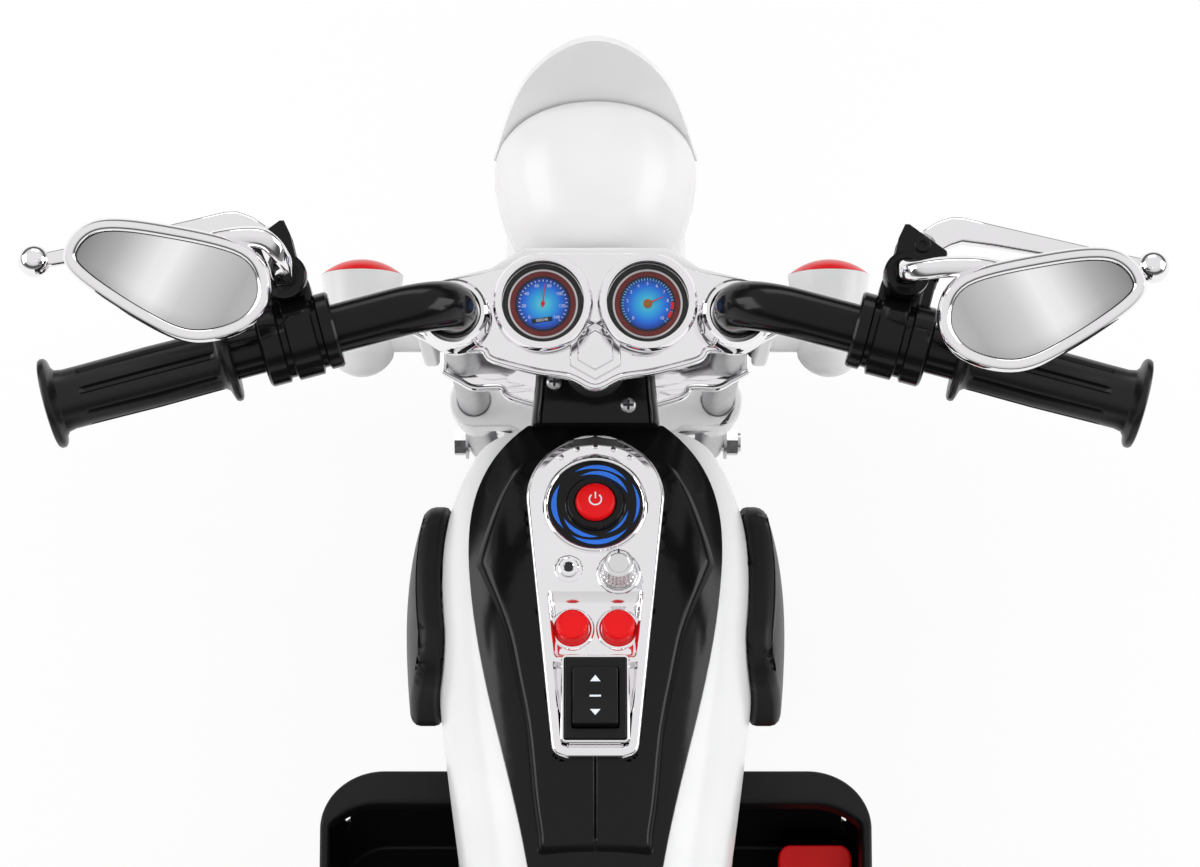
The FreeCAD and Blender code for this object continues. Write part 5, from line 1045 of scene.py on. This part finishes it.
# Knob and socket: a fluted cap with satin plating, pushed onto the volume shaft, and a plated ring nut
# screwed on round the audio socket.
KNOB_FLUTES = 24
KNOB_STEPS = 144
KNOB_RINGS = [(7.0, 0.0, 0.5), (7.0, 0.0, 1.6), (6.9, 0.55, 2.0), (6.6, 0.55, 10.6), (6.4, 0.0, 11.3),
              (5.6, 0.0, 11.9), (4.6, 0.0, 11.9), (4.3, 0.0, 11.6), (TIP, 0.0, 11.6)]
POINTER_LEVEL = PLATE + 11.7
SOCKET = (-11.5, 11.35)
SOCKET_NUT = [(6.2, -0.5), (6.2, 0.6), (5.6, 1.0), (4.6, 1.0), (4.4, 2.2), (3.9, 2.6), (2.4, 2.6), (2.0, 2.2),
              (1.8, -2.0)]
SOCKET_PLUG = [(1.85, 0.4), (1.85, 1.5), (TIP, 1.4)]
knob_rings = []
for radius, deep, height in KNOB_RINGS:
    knob_ring = []
    for step in range(KNOB_STEPS):
        angle = ROUND * step / KNOB_STEPS
        knob_ring.append((*polar(radius - deep * (1 - math.cos(KNOB_FLUTES * angle)) / 2, angle), height))
    knob_rings.append(knob_ring)
satin_plating = metal("satin_plating", (0.8, 0.8, 0.81), 0.26)
build("knob_cap", [at(skin(knob_rings), KNOB, PLATE)], satin_plating, "knob", "chrome", PANEL, "volume_knob")
pointer = at(bar_mark(0, 5.4, half_x=0.4, half_y=0.9, height=0.4), KNOB, POINTER_LEVEL)
build("knob_pointer", [pointer], dark_ink_and_painted_shade, "knob", "chrome", PANEL)
build("socket_ring", [at(turned(SOCKET_NUT), SOCKET, PLATE)], chrome, "bike", "chrome", PANEL, "audio_jack")
build("socket_hole", [at(turned(SOCKET_PLUG, 24), SOCKET, PLATE)], dark_ink_and_painted_shade, "bike", "chrome", PANEL)

# Rocker switch: a black moulded housing clipped into the panel over a dark liner, and a rocker printed with
# two arrows and a bar.
LINER_OUTLINE = rounded(13.0, 18.2, 1.0)
LINER_LOW = -8.6
LINER_HIGH = -6.0
LINER_EASE = 0.3
ROCKER_TOP = PLATE + 5.0
ROCKER_DIP = 0.7
ROCKER_SLOPE = math.radians(8.0)
ARROW = [(-2.2, -1.2), (2.2, -1.2), (0, 1.6)]
ARROW_AT = Matrix.Translation((0, 7.5, 0.15))
PRINT_THICK = 0.3
eased("switch_housing", satin_black, "bike", width=0.0006)
eased("switch_rocker", satin_black, "rocker", width=0.0008)
liner = at(prism(LINER_OUTLINE, LINER_LOW, LINER_HIGH, LINER_EASE), SWITCH)
build("switch_liner", [liner], satin_black, "bike", "black", PANEL)
arrow = moved(slab(ARROW, (0.0, PRINT_THICK)), ARROW_AT @ Matrix.Rotation(ROCKER_SLOPE, 4, "X"))
bar = bar_mark(0, 0, half_x=2.4, half_y=0.4, height=PRINT_THICK)
signs = [at(bar, SWITCH, ROCKER_TOP - ROCKER_DIP)]
for half_turn in (0.0, math.pi):
    signs.append(at(moved(arrow, Matrix.Rotation(half_turn, 4, "Z")), SWITCH, ROCKER_TOP))
build("rocker_signs", signs, white_ink, "rocker", "black", PANEL)

# Footboards and pedal: black moulded trays screwed to the tub, and a red moulded pedal that tilts on a pin
# in the right-hand one.
eased("footboard_left", satin_black, "bike", width=0.002)
eased("footboard_right", satin_black, "bike", width=0.002)
# The pedal's red is lighter than the buttons' red: painted light that makes up for the shade of the tray
# round it.
pedal_red_painted_light = moulded("pedal_red_painted_light", (0.92, 0.006, 0.008), 0.32, specular=0.2)
eased("pedal", pedal_red_painted_light, "pedal", width=0.0016)

# Rear body, tail lamp and seat: gloss white mudguards over the rear wheels, a red lamp let into the
# back, and a black moulded seat clipped on top.
seat_black = moulded("seat_plastic", (0.012, 0.012, 0.013), 0.38, peel=6e-5, grain=900.0, specular=0.3)
eased("rear_body", white, "bike", width=0.0015)
eased("tail_lamp", red_lens, "bike", width=0.0015)
dress(seat_black, "seat")

# Studio: a pale floor that keeps the shadow, a white backdrop, soft lamps and the camera, which looks down
# from behind the rider's place. Metal mirrors a tent that is dark low down and bright overhead.
FLOOR_HALF = 4.0
BACKDROP = 0.85
WHITE_LIGHT = (1.0, 1.0, 1.0, 1.0)
TENT = [(0.0, 0.30), (0.12, 0.07), (0.28, 0.14), (0.42, 0.8), (0.7, 1.0), (1.0, 1.0)]
TENT_LIGHT = 0.7
TENT_MIRRORED = 0.86
LOOK_AT = Vector((0.002, 0.130, 0.405))
LOOK_DOWN = math.radians(56.0)
LOOK_FROM = 1.6
FOCAL_PIXELS = 3650.0
IMAGE_WIDTH = 1200.0
scene = bpy.context.scene
scene.view_settings.view_transform = "Standard"


def seen_by(nodes, *rays):
    """How many of these kinds of ray look at the surface: a Mix Shader takes any number above one as one."""
    return sum(nodes.node("LightPath", output=f"Is {ray} Ray") for ray in rays)


floor_mesh = bpy.data.meshes.new("floor")
corners = [(x * FLOOR_HALF, y * FLOOR_HALF, 0) for x, y in ((-1, -1), (1, -1), (1, 1), (-1, 1))]
floor_mesh.from_pydata(corners, [], [(0, 1, 2, 3)])
floor = bpy.data.objects.new("floor", floor_mesh)
scene.collection.objects.link(floor)
floor_white = Finish("floor_white", {"Base Color": (0.9, 0.9, 0.9, 1.0), "Roughness": 0.9,
                                     "Specular IOR Level": 0.0})
seen = seen_by(floor_white, "Camera", "Glossy", "Transmission")
glow = floor_white.node("Emission", {}, {"Color": WHITE_LIGHT, "Strength": 1.0})
lit = Wire(floor_white, floor_white.shader.outputs[0])
floor_white.plug(floor_white.tree.nodes["Material Output"].inputs["Surface"],
                 floor_white.node("MixShader", {}, {0: seen * BACKDROP, 1: lit, 2: glow}))
floor_mesh.materials.append(floor_white.material)

world = bpy.data.worlds.new("studio")
world.use_nodes = True
scene.world = world
sky = Nodes(world.node_tree)
upward = sky.node("SeparateXYZ", {}, {0: sky.node("TexCoord", output="Generated")}, output="Z")
tent = sky.node("ValToRGB", grey_stops(TENT), {0: upward})
ambient = sky.node("Background", {}, {"Color": tent, "Strength": TENT_LIGHT})
mirrored = sky.node("Background", {}, {"Color": tent, "Strength": TENT_MIRRORED})
dome = sky.node("MixShader", {}, {0: seen_by(sky, "Glossy", "Transmission"), 1: ambient, 2: mirrored})
backdrop = sky.node("Background", {}, {"Color": WHITE_LIGHT, "Strength": 1.0})
sky.plug(world.node_tree.nodes["World Output"].inputs["Surface"],
         sky.node("MixShader", {}, {0: seen_by(sky, "Camera"), 1: dome, 2: backdrop}))


def lamp(name, position, target, size, power, mirrored_too=True):
    """A soft box that shines at a target; one that isn't mirrored lights the piece without a reflection."""
    light = bpy.data.lights.new(name, "AREA")
    light.shape = "RECTANGLE"
    light.size = size[0]
    light.size_y = size[1]
    light.energy = power
    holder = bpy.data.objects.new(name, light)
    holder.location = position
    holder.rotation_euler = (Vector(target) - Vector(position)).to_track_quat("-Z", "Y").to_euler()
    holder.visible_glossy = mirrored_too
    scene.collection.objects.link(holder)


lamp("key_softbox", (-1.7, 0.2, 1.1), target=(0, 0.1, 0.35), size=(1.4, 1.0), power=16)
lamp("fill_softbox", (1.7, 0.1, 1.1), target=(0, 0.1, 0.35), size=(1.4, 1.0), power=16)
lamp("rear_softbox", (0.0, 2.0, 1.8), target=(0, 0.1, 0.4), size=(1.6, 0.8), power=7)
lamp("front_softbox", (0.0, -2.0, 1.9), target=(0, 0.2, 0.45), size=(2.0, 1.0), power=16, mirrored_too=False)

camera = bpy.data.cameras.new("camera")
camera.sensor_width = 36.0
camera.lens = camera.sensor_width * FOCAL_PIXELS / IMAGE_WIDTH
eye = bpy.data.objects.new("camera", camera)
eye.location = LOOK_AT + LOOK_FROM * Vector((0, -math.cos(LOOK_DOWN), math.sin(LOOK_DOWN)))
eye.rotation_euler = (math.pi / 2 - LOOK_DOWN, 0, 0)
scene.collection.objects.link(eye)
scene.camera = eye
